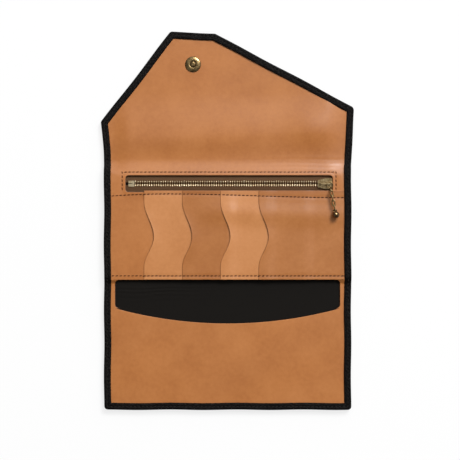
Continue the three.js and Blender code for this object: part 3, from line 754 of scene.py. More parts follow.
@dataclass
class CoverPart:
    """One stretch of the black cover that bends across a single fold.

    Attributes:
        name: the piece's name.
        nodes: the CAD nodes that it stands for.
        bodies: the two bodies it bends between, lower one first.
        fold: place of the fold along Y.
        paths: outer edges, each with the inside on its left, and their corner radii.
        low: where the skin starts along Y.
        high: where the skin ends along Y.
        sides: gives the left and the right edge at y, moved in by a distance.
    """

    name: str
    nodes: tuple[str, ...]
    bodies: tuple[str, str]
    fold: float
    paths: list[tuple[np.ndarray, list[float]]]
    low: float
    high: float
    sides: Callable[[np.ndarray, float], Pair] = body_sides
    skin_inset: float = 2.0
    seam_inset: float = 2.5

    def hem(self, number: int, material: bpy.types.Material) -> bpy.types.Object:
        """Carries the section of the turned edge along an outer edge, its two ends closed."""
        corners, radii = self.paths[number]
        counts = stretch_counts(corners, 1.6)
        outer = rounded_path(corners, radii, counts)
        inner_radii = [min(radius, 0.6) for radius in radii]
        inner = rounded_path(offset_path(corners, M.hem), inner_radii, counts)
        share = HEM_SECTION[:, 0][None, :, None] / M.hem
        flat = outer[:, None] + (inner - outer)[:, None] * share
        flat = flat + 0.2 * np.sin(flat[..., ::-1] / 8.3 + 0.7)
        top = hem_height(flat[..., 1]) - M.cover_low
        top = top + 0.12 * ripple(flat[..., 0], flat[..., 1], 9.0, 0.4)
        height = M.cover_low + HEM_SECTION[:, 1] + HEM_SECTION[:, 2] * top
        points = np.concatenate([flat, height[..., None]], -1)
        rows, columns = points.shape[:2]
        faces = grid_faces(rows, columns, True).tolist()
        faces.append(list(range(columns)))
        faces.append(list(range((rows - 1) * columns, rows * columns))[::-1])
        name = f"{self.name}_edge_{number + 1}"
        return finish_mesh(name, points.reshape(-1, 3), np.array(faces, dtype=object), material)

    def skin(self, material: bpy.types.Material) -> bpy.types.Object:
        """Makes the flat outer skin between the turned edges, row by row along Y."""
        y = spaced(self.low, self.high, 2.0)
        x, y = across(y, *self.sides(y, self.skin_inset), np.linspace(0, 1, 40))
        low = np.full_like(x, M.cover_low + 0.03)
        top = np.full_like(x, M.inner_face - 0.02)
        return slab(f"{self.name}_skin", x, y, top, low, material)

    def threads(self, number: int, material: bpy.types.Material) -> list[bpy.types.Object]:
        """Sews a turned edge, on the inside and on the outside."""
        corners, radii = self.paths[number]
        counts = stretch_counts(corners, 1.0)
        inner = offset_path(corners, self.seam_inset)
        line = rounded_path(inner, [radius * 0.4 for radius in radii], counts)
        over, under = hem_height(line[:, 1]) - 0.1, np.full(len(line), M.cover_low + 0.02)
        return [
            stitches(f"{self.name}_thread_{number + 1}", line, over, material),
            stitches(f"{self.name}_outer_thread_{number + 1}", line, under, material),
        ]

    def build(self, palette: Palette) -> None:
        """Builds the part's pieces, applies their transforms and stands them for their CAD nodes.
        """
        leather, thread = palette.leather(BLACK), palette.cloth(BLACK_THREAD)
        pieces = [self.hem(number, leather) for number in range(len(self.paths))]
        pieces.append(self.skin(leather))
        for number in range(len(self.paths)):
            pieces += self.threads(number, thread)
        for piece in pieces:
            bend(piece, self.bodies, self.fold, "black_leather")
        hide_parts(*self.nodes)


def body_half(y: np.ndarray) -> np.ndarray:
    """Half the wallet's width at y: straight to the upper fold, then wider to the shoulder."""
    root = M.flap_fold
    return np.interp(
        y, [M.upper_fold, root, root + LEFT_SHOULDER_RISE],
        [M.half_width, FLAP_ROOT_HALF, SHOULDER_HALF],
    )


def flap_corners(start: float) -> np.ndarray:
    """Outer corners of the flap from the right side up, over the tip and down the left."""
    fold = M.flap_fold
    tip = fold + FLAP_LENGTH
    begin = float(body_half(np.array(start)))
    return np.array([
        [begin, start], [SHOULDER_HALF, fold + RIGHT_SHOULDER_RISE],
        [TIP_RIGHT_X, tip - TIP_RIGHT_DROP], [TIP_LEFT_X, tip],
        [-SHOULDER_HALF, fold + LEFT_SHOULDER_RISE], [-begin, start],
    ])


STITCH_RINGS = 10
STITCH_SIDES = 7


def stitches(
    name: str, path: np.ndarray, height: np.ndarray, material: bpy.types.Material,
    pitch: float = 3.1, length: float = 2.45, width: float = 0.72, slant: float = 7.0,
) -> bpy.types.Object:
    """Lays a row of stitches along a path.

    Each stitch is a stretched ball: a circle of points carried along its length, whose radius
    follows a half circle raised to the power 0.6, so that its ends are blunt.

    Args:
        name: the piece's name.
        path: places along the seam.
        height: height of the leather at each place.
        material: the thread's material.
        pitch: distance from stitch to stitch.
        length: how long each stitch shows.
        width: the thread's thickness.
        slant: how far each stitch turns from the seam, in degrees.

    Returns:
        The new object.
    """
    steps = np.linalg.norm(np.diff(path, axis=0), axis=1)
    reach = np.concatenate([[0], np.cumsum(steps)])
    count = max(1, int(reach[-1] // pitch))
    at = (np.arange(count) + 0.5) * reach[-1] / count
    x, y = np.interp(at, reach, path[:, 0]), np.interp(at, reach, path[:, 1])
    z = np.interp(at, reach, height)
    ahead_x = np.interp(at + 0.4, reach, path[:, 0]) - np.interp(at - 0.4, reach, path[:, 0])
    ahead_y = np.interp(at + 0.4, reach, path[:, 1]) - np.interp(at - 0.4, reach, path[:, 1])
    angle = np.arctan2(ahead_y, ahead_x) + math.radians(slant)
    t = np.linspace(-1, 1, STITCH_RINGS)
    around = np.linspace(0, 2 * math.pi, STITCH_SIDES, endpoint=False)
    radius = np.maximum((1 - t * t), 0) ** 0.4 * width / 2
    unit_x = np.repeat(t[:, None] * length / 2, STITCH_SIDES, 1)
    unit_y = radius[:, None] * np.cos(around)
    unit_z = radius[:, None] * np.sin(around) - 0.12 * (t * t)[:, None]
    turn_x, turn_y = np.cos(angle)[:, None, None], np.sin(angle)[:, None, None]
    unit = np.stack([
        unit_x * turn_x - unit_y * turn_y, unit_x * turn_y + unit_y * turn_x,
        np.repeat(unit_z[None], count, 0),
    ], -1).reshape(count, -1, 3)
    faces = grid_faces(STITCH_RINGS, STITCH_SIDES, True)
    return finish_mesh(name, *copies(unit, np.stack([x, y, z], -1), faces), material)


# How the tan lining lies over the upper fold: rise of the valley and of the crest at the
# sides, how much more each rises in the middle, and the slow wave along the fold.
VALLEY_RISE, VALLEY_MIDDLE = 1.15, 0.85
CREST_RISE, CREST_MIDDLE = 0.3, 1.4
FOLD_WAVE = 47.0
# Two bulges of the flap: height, then place and half width along X and along Y.
SLANTED_BULGE = (0.8, 38.0, 26.0, 92.0, 17.0)
RIGHT_BULGE = (0.85, 66.0, 15.0, 72.0, 13.0)


def bulge(
    x: np.ndarray, y: np.ndarray, height: float, x_place: float, x_half: float, y_place: float,
    y_half: float,
) -> np.ndarray:
    """A smooth round mound of a given height and place."""
    return height * dent(x, x_place, x_half) * dent(y, y_place, y_half)


def tan_height(x: np.ndarray, y: np.ndarray) -> np.ndarray:
    """Height of the tan lining from the zip panel to the flap.

    It falls from the zip panel into a valley along the upper fold, rises on to a crest over
    the spine, highest in the middle, then lies a little uneven over the flap.
    """
    middle = 1 - smooth_step(np.abs(x), M.half_width - 20.0, M.half_width - 6.0)
    valley = M.inner_face + VALLEY_RISE + VALLEY_MIDDLE * middle
    crest = M.lining_top + CREST_RISE + CREST_MIDDLE * middle
    foot = M.upper_fold + 6.0 + 2.5 * np.sin(x / FOLD_WAVE)
    fall = smooth_step(y, M.upper_fold - 8.5, M.upper_fold + 5.5)
    rise = smooth_step(y, foot, foot + 19.0)
    settle = smooth_step(y, foot + 18.0, M.upper_fold + 58.0)
    height = M.base_top + (valley - M.base_top) * fall + (crest - valley) * rise
    height = height + (M.lining_top - crest) * settle
    uneven = smooth_step(y, M.upper_fold - 2, M.flap_fold) * 0.25
    bulges = bulge(x - 0.5 * y, y, *SLANTED_BULGE) * middle + bulge(x, y, *RIGHT_BULGE)
    right = smooth_step(x, 0.0, 60.0)
    creases = 0.035 * np.sin(y * 1.9 + 0.6 * np.sin(x / 11.0)) * dent(y, M.upper_fold + 1, 6.0)
    return height + uneven * ripple(x, y, 21.0, 0.9) + bulges + right * creases


def fold_burnish(x: np.ndarray, y: np.ndarray) -> np.ndarray:
    """How much the leather is darkened: a band of painted shade along the slope above the fold,
    which faces away from the light, over uneven tone everywhere.
    """
    band = 0.18 * dent(y + 2.0 * np.sin(x / FOLD_WAVE), M.upper_fold + 15.0, 6.0)
    return np.clip(band + 0.10 + 0.12 * ripple(x, y, 17.0, 2.2), 0, 1)


@dataclass
class Lining:
    """The tan lining of the flap and of the upper spine."""

    thickness: float = 1.1
    inset: float = 1.5

    def strip(
        self, name: str, y: np.ndarray, left: np.ndarray, right: np.ndarray,
        material: bpy.types.Material,
    ) -> bpy.types.Object:
        """Makes a stretch of lining from its rows and their two ends."""
        x, y = across(y, left, right, np.linspace(0, 1, 90))
        top = tan_height(x, y)
        # Darkened by painted shade on the slope above the fold and by uneven tone.
        darkening = fold_burnish(x, y)
        return slab(name, x, y, top, top - self.thickness, material, burnish=darkening)

    def build(self, palette: Palette) -> None:
        """Builds the flap's lining and the lining across the upper fold."""
        leather = palette.leather(TAN)
        y = spaced(M.upper_middle, M.flap_tip - 2.2, 1.2)
        flap = self.strip("flap_leather", y, *flap_sides(y, self.inset), leather)
        bend(flap, ("upper_spine", "flap"), M.flap_fold, "tan_leather", "flap_lining")
        y = spaced(PANEL_UPPER, M.upper_middle, 0.7)
        spine = self.strip("fold_leather", y, *body_sides(y, self.inset), leather)
        bend(
            spine, ("back", "upper_spine"), M.upper_fold, "tan_leather", "upper_spine_lining",
            before=BLEND_REACH / 2,
        )


@dataclass
class CardSection:
    """The zip's window panel and the four card leaves with their seams, in millimetres.

    The notch is measured down from the leaves' upper end to its deepest place, and from there
    up (notch_above) and down (notch_half) to where it ends. The puff is how far the leaves
    stand off the panel below their upper seam. The sag is how far that seam falls away to the
    left and to the right of its highest place, sag_top_x.
    """

    leaf_left: float = -65.9
    leaf_count: int = 4
    leaf_pitch: float = 30.13
    leaf_length: float = 67.2
    leaf_thickness: float = 0.6
    notch_depth: float = 7.6
    notch_half: float = 24.0
    notch_above: float = 27.5
    notch_below: float = 36.2
    window_left: float = -80.3
    window_right: float = 82.7
    window_half: float = 6.4
    window_radius: float = 2.6
    puff: float = 0.9
    puff_below: float = 14.0
    puff_half: float = 8.0
    sag_left: float = 1.6
    sag_right: float = 2.9
    sag_top_x: float = -48.0
    sag_left_reach: float = 43.0
    sag_right_reach: float = 140.0
    outer_inset: float = 1.4
    window_rings: tuple[float, ...] = (*EDGE_STEPS, 2.0, 2.8)

    @property
    def upper_seam(self) -> float:
        """Height along Y of the seam above the leaves."""
        return M.leaf_top - 2.6

    @property
    def lower_seam(self) -> float:
        """Height along Y of the seam below the leaves."""
        return M.base_bottom + 2.3

    def leaf_x(self, number: int) -> float:
        """Left edge of a leaf, counted from 0."""
        return self.leaf_left + number * self.leaf_pitch

    def notch(self, y: np.ndarray) -> np.ndarray:
        """How far the free edge is cut back: half a wave of a cosine about its middle."""
        away = y - (M.leaf_top - self.notch_below)
        t = np.clip(away / np.where(away > 0, self.notch_above, self.notch_half), -1, 1)
        return self.notch_depth * (0.5 + 0.5 * np.cos(math.pi * t))

    def layers(self, number: int, x: np.ndarray) -> np.ndarray:
        """How many leaves lie under a leaf at x, easing off past each one's right end."""
        under = np.zeros_like(x)
        for below in range(number):
            right = self.leaf_x(below) + self.leaf_length
            under = under + 1 - smooth_step(x, right - 0.5, right + 7.0)
        return under

    def leaf_low(self, number: int, x: np.ndarray, y: np.ndarray) -> np.ndarray:
        """Underside of a leaf, lifted a little along its notch and held down at the seams."""
        left = self.leaf_x(number) + self.notch(y)
        open_edge = np.exp(-np.maximum(x - left, 0) / 5.0) * self.notch(y) / self.notch_depth
        lift = 0.05 + 0.6 * open_edge
        middle = self.upper_seam - self.sag(x) - self.puff_below
        puff = self.puff * dent(y, middle, self.puff_half)
        puff = puff * smooth_step(x, -34.0, 6.0) * (1 - 0.5 * smooth_step(x, 60.0, 95.0))
        stack = self.layers(number, x) * (self.leaf_thickness + 0.03)
        return M.base_top + lift + puff + stack

    def surface(self, x: np.ndarray, y: np.ndarray) -> np.ndarray:
        """Height of what lies uppermost at a place on a seam."""
        height = np.full_like(x, M.base_top)
        for number in range(self.leaf_count):
            left = self.leaf_x(number)
            inside = (x >= left) & (x <= left + self.leaf_length)
            over = self.leaf_low(number, x, y) + self.leaf_thickness
            height = np.where(inside, over, height)
        return height

    def leaf(self, number: int, material: bpy.types.Material, slot: str) -> None:
        """Makes one leaf with rounded cut edges and a groove along each seam."""
        y = spaced(PANEL_LOWER, M.leaf_top, 1.0, EDGE_STEPS)
        left = self.leaf_x(number) + self.notch(y)
        right = self.leaf_x(number) + self.leaf_length
        share = spaced(0.0, self.leaf_length, 2.4, EDGE_STEPS) / self.leaf_length
        x, rows = across(y, left, np.full_like(y, right), share)
        low = self.leaf_low(number, x, rows)
        from_edge = np.minimum(x - left[:, None], right - x)
        from_end = np.minimum(rows - PANEL_LOWER, M.leaf_top - rows)
        inside = np.minimum(from_edge, from_end)
        seam = self.upper_seam - self.sag(x)
        groove = dent(rows, seam, 1.0) + dent(rows, self.lower_seam, 1.0)
        relief = 0.05 * ripple(x, rows, 7.0, 1.0 + number) - 0.16 * groove
        held = smooth_step(self.notch(rows), 0.3, 4.0)
        edges = smooth_step(-from_edge, -0.4, -0.1) * (0.25 + 0.35 * held)
        # Darker at the leaf's upper end, where it meets the panel, and in the seam grooves:
        # painted shade; plus a slight even darkening.
        darkening = np.clip(0.5 * dent(rows, M.leaf_top, 2.2) + 0.3 * groove + 0.08, 0, 1)
        piece = cut_sheet(
            f"leaf_leather_{number + 1}", x, rows, low + self.leaf_thickness / 2,
            self.leaf_thickness, inside, material, relief, edges=edges, burnish=darkening,
        )
        seat(piece, "back", slot, f"card_leaf_{number + 1}")

    def panel(self, material: bpy.types.Material) -> None:
        """Makes the panel round the zip's window, ring by ring from the window outwards."""
        low_y, high_y = M.zip_y - self.window_half, M.zip_y + self.window_half
        window = np.array([
            [self.window_left, low_y], [self.window_right, low_y],
            [self.window_right, high_y], [self.window_left, high_y],
        ])
        half = M.half_width - self.outer_inset
        outer = np.array([
            [-half, PANEL_LOWER], [half, PANEL_LOWER], [half, PANEL_UPPER], [-half, PANEL_UPPER],
        ])
        counts = stretch_counts(window, 1.6, True)
        outwards = np.array([[-1, -1], [1, -1], [1, 1], [-1, 1]])
        rings = [
            rounded_path(window + out * outwards, [self.window_radius + out] * 4, counts, True)
            for out in self.window_rings
        ]
        edge = rounded_path(outer, [0.2] * 4, counts, True)
        last = rings[-1]
        for share in (0.1, 0.2, 0.35, 0.5, 0.65, 0.8, 0.9, 1.0):
            rings.append(last * (1 - share) + edge * share)
        x, y = np.moveaxis(np.array(rings), -1, 0)
        distance = np.full(x.shape, 5.0)
        distance[:len(self.window_rings)] = np.array(self.window_rings)[:, None]
        thickness = M.base_top - M.base_low
        groove = 0.14 * dent(distance, 2.6, 0.8)
        edges = smooth_step(-distance, -0.45, -0.1)
        # Darker along the stitched groove round the window, which is painted shade, over uneven
        # tone.
        darkening = fold_burnish(x, y) + 0.2 * dent(distance, 2.6, 1.0)
        piece = cut_sheet(
            "window_panel", x, y, tan_height(x, y) - thickness / 2, thickness, distance, material,
            -groove, edges=edges, ring=True, burnish=darkening,
        )
        seat(piece, "back", "tan_leather", "card_base_panel")

    def sag(self, x: np.ndarray) -> np.ndarray:
        """How far the upper seam runs below its highest place at x, as sewn by hand."""
        left = np.clip((self.sag_top_x - x) / self.sag_left_reach, 0, 1.1)
        right = np.clip((x - self.sag_top_x) / self.sag_right_reach, 0, 1)
        return self.sag_left * left**2 + self.sag_right * (0.5 - 0.5 * np.cos(math.pi * right))

    def seams(self, material: bpy.types.Material) -> None:
        """Sews the frame over the zip and the two seams across the leaves."""
        out = self.window_rings[-1]
        bottom = M.leaf_top
        top = M.zip_y + self.window_half + out
        frame_path = np.array([
            [self.window_right + out, bottom], [self.window_right + out, top],
            [self.window_left - out, top], [self.window_left - out, bottom],
        ])
        path = rounded_path(frame_path, [0.0] * 4, stretch_counts(frame_path, 1.0))
        height = tan_height(path[:, 0], path[:, 1]) + 0.04
        pieces = [stitches("zip_frame_thread", path, height, material)]
        reach = M.half_width - M.hem
        x = np.linspace(-reach, reach, 240)
        for name, y in (
            ("upper_seam_thread", self.upper_seam - self.sag(x)),
            ("lower_seam_thread", np.full_like(x, self.lower_seam)),
        ):
            line = np.stack([x, y], -1)
            pieces.append(stitches(name, line, self.surface(x, y) + 0.02, material))
        for piece in pieces:
            seat(piece, "back", "tan_leather")

    def build(self, palette: Palette) -> None:
        """Builds the panel, the leaves from the lowest up, and their seams."""
        self.panel(palette.leather(TAN))
        finishes = (TAN_LIGHT, TAN_DARK, TAN_LIGHT, TAN_DARK)
        slots = ("tan_leaf_light", "tan_leaf_dark", "tan_leaf_light", "tan_leather")
        for number in range(self.leaf_count):
            self.leaf(number, palette.leather(finishes[number]), slots[number])
        self.seams(palette.cloth(BROWN_THREAD))


@dataclass
class NotePocket:
    """The wide pocket of the front panel: black lining, tan front and side strips.

    Sizes are in millimetres. Each crease of the lining has a place along Y, a depth and a
    share of the slow wave that it follows.
    """

    mouth_sag: float = 11.9
    corner_radius: float = 3.3
    inset: float = 1.5
    pocket_thickness: float = 0.8
    cloth_thickness: float = 0.4
    strip_reach: float = 3.0
    creases: tuple[tuple[float, float, float], ...] = (
        (-52.5, 0.24, 0.5), (-55.2, 0.3, 0.7), (-58.1, 0.2, 0.9), (-62.0, 0.14, 1.0),
    )

    def level(self, y: np.ndarray) -> np.ndarray:
        """Height of the tan strips beside the mouth, rising to the card panel."""
        rise = smooth_step(y, M.lower_fold - 1.0, PANEL_LOWER + 0.4)
        return M.pocket_top + (M.base_top - M.pocket_top) * rise

    def cloth(self, palette: Palette) -> None:
        """Makes the black lining with a few creases that run across it on the left."""
        material = palette.cloth(LINING)
        half = M.half_width - self.inset
        for name, node, low, high, step, bodies, fold in (
            ("pocket_lining", "bill_lining_front", M.front_edge + 3, M.lower_middle, 1.1,
             ("front", "lower_spine"), M.front_fold),
            ("spine_cloth", "bill_lining_spine", M.lower_middle, M.base_bottom + 2.5, 0.7,
             ("lower_spine", "back"), M.lower_fold),
        ):
            x, y = np.meshgrid(np.linspace(-half, half, 150), spaced(low, high, step))
            left = 1 - smooth_step(x, -60.0, 5.0)
            wander = 0.9 * np.sin(x / 17.0) + 0.5 * np.sin(x / 6.3)
            crease = sum(
                depth * dent(y + wander * size, place, 0.55)
                for place, depth, size in self.creases
            )
            top = M.cloth_top + crease * left + 0.06 * ripple(x, y, 8.0, 0.2)
            piece = slab(name, x, y, top, top - self.cloth_thickness, material)
            bend(piece, bodies, fold, "black_cloth", node)

    def front(self, palette: Palette) -> None:
        """Makes the pocket's tan front, whose upper edge hangs in one shallow arc."""
        half = M.half_width - self.inset
        x = np.concatenate([
            np.linspace(-half, -M.strip_inner - 0.4, 6),
            np.linspace(-M.strip_inner, M.strip_inner, 260),
            np.linspace(M.strip_inner + 0.4, half, 6),
        ])
        arc = (M.strip_inner**2 + self.mouth_sag**2) / (2 * self.mouth_sag)
        reach = np.minimum(np.abs(x), M.strip_inner)
        upper = POCKET_UPPER - self.mouth_sag + arc - np.sqrt(arc**2 - reach**2)
        low = M.front_edge + self.inset
        v = spaced(0.0, 100.0, 2.4, EDGE_STEPS) / 100.0
        y = low + v[:, None] * (upper - low)[None]
        columns = np.repeat(x[None], len(v), 0)
        from_edge = np.where(np.abs(columns) < M.strip_inner + 0.2, upper[None] - y, 5.0)
        wave = 0.1 * ripple(columns, y, 19.0, 2.0)
        wave = wave * smooth_step(from_edge, 0.0, 6.0) * smooth_step(-y, -POCKET_UPPER, 78.0)
        darkening = np.clip(0.12 + 0.15 * ripple(columns, y, 15.0, 0.3), 0, 1)
        piece = cut_sheet(
            "pocket_front", columns, y, M.pocket_top - self.pocket_thickness / 2,
            self.pocket_thickness, from_edge, palette.leather(TAN), wave, burnish=darkening,
        )
        seat(piece, "front", "tan_leather", "front_pocket_panel")

    def strips(self, palette: Palette) -> None:
        """Makes the narrow strips that run up beside the mouth, each in two parts, one across each
        fold.
        """
        material = palette.leather(TAN)
        width = M.half_width - self.inset - M.strip_inner
        share = spaced(0.0, width, 1.0, EDGE_STEPS) / width
        for side, sign in (("left", -1), ("right", 1)):
            for part, low, high, bodies, fold in (
                ("lower", POCKET_UPPER, M.lower_middle, ("front", "lower_spine"), M.front_fold),
                ("upper", M.lower_middle, PANEL_LOWER + 0.6, ("lower_spine", "back"),
                 M.lower_fold),
            ):
                rows = spaced(low, high, 0.5)
                above = (rows - PANEL_LOWER) / self.corner_radius + 1
                below = (POCKET_UPPER - rows) / self.corner_radius + 1
                near = np.clip(np.maximum(above, below), 0, 1)
                bow = self.corner_radius * (1 - np.sqrt(1 - near**2))
                inner = sign * (M.strip_inner - bow)
                outer = np.full_like(rows, sign * (M.strip_inner + width))
                x, y = across(rows, inner, outer, share if sign > 0 else 1 - share)
                from_edge = np.abs(x - inner[:, None])
                piece = cut_sheet(
                    f"mouth_edge_{side}_{part}", x, y, self.level(y) - self.pocket_thickness / 2,
                    self.pocket_thickness, from_edge, material,
                    edges=smooth_step(-from_edge, -0.45, -0.1),
                )
                bend(
                    piece, bodies, fold, "tan_leather", f"mouth_strip_{side}",
                    before=self.strip_reach, after=self.strip_reach,
                )

    def build(self, palette: Palette) -> None:
        """Builds the lining, the strips and the pocket's front."""
        self.cloth(palette)
        self.strips(palette)
        self.front(palette)


def turned(
    name: str, profile: np.ndarray, x: float, y: float, material: bpy.types.Material,
    sides: int = 72,
) -> bpy.types.Object:
    """Turns a profile of radius and height about an upright axis at (x, y).

    A point at radius r and angle a goes to x + r cos a, y + r sin a.
    """
    around = np.linspace(0, 2 * math.pi, sides, endpoint=False)
    radius, height = profile[:, 0], profile[:, 1]
    points = np.stack([
        x + radius[:, None] * np.cos(around), y + radius[:, None] * np.sin(around),
        np.repeat(height[:, None], sides, 1),
    ], -1)
    faces = grid_faces(len(profile), sides, True)
    return finish_mesh(name, points.reshape(-1, 3), faces, material)


def softened(profile: list[tuple[float, float]], radius: float = 0.18) -> np.ndarray:
    """Rounds each corner of a profile with a quadratic curve, its ends kept."""
    points = np.array(profile, float)
    parts = [points[:1]]
    for before, corner, after in zip(points[:-2], points[1:-1], points[2:]):
        back, onward = before - corner, after - corner
        back_length, onward_length = np.linalg.norm(back), np.linalg.norm(onward)
        start = corner + back / back_length * min(radius, back_length * 0.45)
        end = corner + onward / onward_length * min(radius, onward_length * 0.45)
        parts.append(corner_curve(start, corner, end, 5))
    parts.append(points[-1:])
    return np.concatenate(parts)


@dataclass
class Snap:
    """The snap fastener: stud and cap on the flap, socket on the front panel."""

    rim: float = 6.2
    knob: float = 2.1
    neck: float = 1.6
    stud_height: float = 2.3
    bore: float = 2.4

    def build(self, palette: Palette) -> None:
        """Turns the stud, the cap and the socket, each from a profile from the axis outwards."""
        material = palette.metal(DARK_BRASS)
        foot = node_edge("snap_stud", 0, 2)
        head = foot + self.stud_height
        stud = softened([
            (0.0, foot), (self.rim, foot), (self.rim, foot + 0.2), (self.rim - 0.6, foot + 0.6),
            (self.rim - 1.7, foot + 0.86), (self.rim - 2.9, foot + 0.92),
            (self.neck + 0.8, foot + 0.74), (self.neck + 0.1, foot + 0.5),
            (self.neck, head - 0.9), (self.knob, head - 0.55),
            (self.knob - 0.25, head - 0.12), (self.knob - 1.1, head), (0.0, head),
        ])
        low, top = node_edge("snap_cap", 0, 2), M.cover_low - 0.02
        turn = np.linspace(0, math.pi / 2, 14)
        shoulder = top - 0.35
        dome = np.stack([self.rim * np.sin(turn), shoulder - (shoulder - low) * np.cos(turn)], -1)
        cap = np.concatenate([dome, [(self.rim, top), (0.0, top)]])
        mouth, leather = node_edge("snap_socket", 0, 2), node_edge("snap_socket", 1, 2) + 0.26
        socket = softened([
            (0.0, leather - 0.5), (self.bore, leather - 0.5), (self.bore, mouth + 0.35),
            (self.bore + 0.3, mouth), (self.rim - 2.0, mouth), (self.rim - 1.3, mouth + 0.5),
            (self.rim - 0.2, leather - 0.7), (self.rim, leather - 0.4), (self.rim, leather),
            (0.0, leather),
        ])
        for name, profile, under, body in (
            ("stud", stud, "snap_stud", "flap"), ("cap", cap, "snap_stud", "flap"),
            ("socket", socket, "snap_socket", "front"),
        ):
            piece = turned(name, profile, node_middle(under, 0), node_middle(under, 1), material)
            seat(piece, body, "dark_brass", f"snap_{name}")


def smooth_copy(node: str, body: str, material: bpy.types.Material, grow: float) -> None:
    """Makes a rounder piece from a CAD node: merged, swollen a little and subdivided.

    Subdividing pulls a coarse tube in, so each point first moves out along its normal.

    Args:
        node: the CAD node.
        body: the body it rides on.
        material: its material.
        grow: how far the points move out, in millimetres.
    """
    shell = bmesh.new()
    shell.from_mesh(frame["nodes"][node].data)
    bmesh.ops.remove_doubles(shell, verts=shell.verts, dist=0.003 * MM)
    shell.normal_update()
    mesh = bpy.data.meshes.new(f"{node}_round")
    shell.to_mesh(mesh)
    shell.free()
    count = len(mesh.vertices)
    place, normal = np.empty(count * 3), np.empty(count * 3)
    mesh.vertices.foreach_get("co", place)
    mesh.vertices.foreach_get("normal", normal)
    mesh.vertices.foreach_set("co", place + normal * grow * MM)
    mesh.polygons.foreach_set("use_smooth", [True] * len(mesh.polygons))
    mesh.materials.append(material)
    piece = add_object(mesh.name, mesh)
    finer = piece.modifiers.new("finer", "SUBSURF")
    finer.levels = 2
    finer.render_levels = 2
    seat(piece, body, "brass", node)


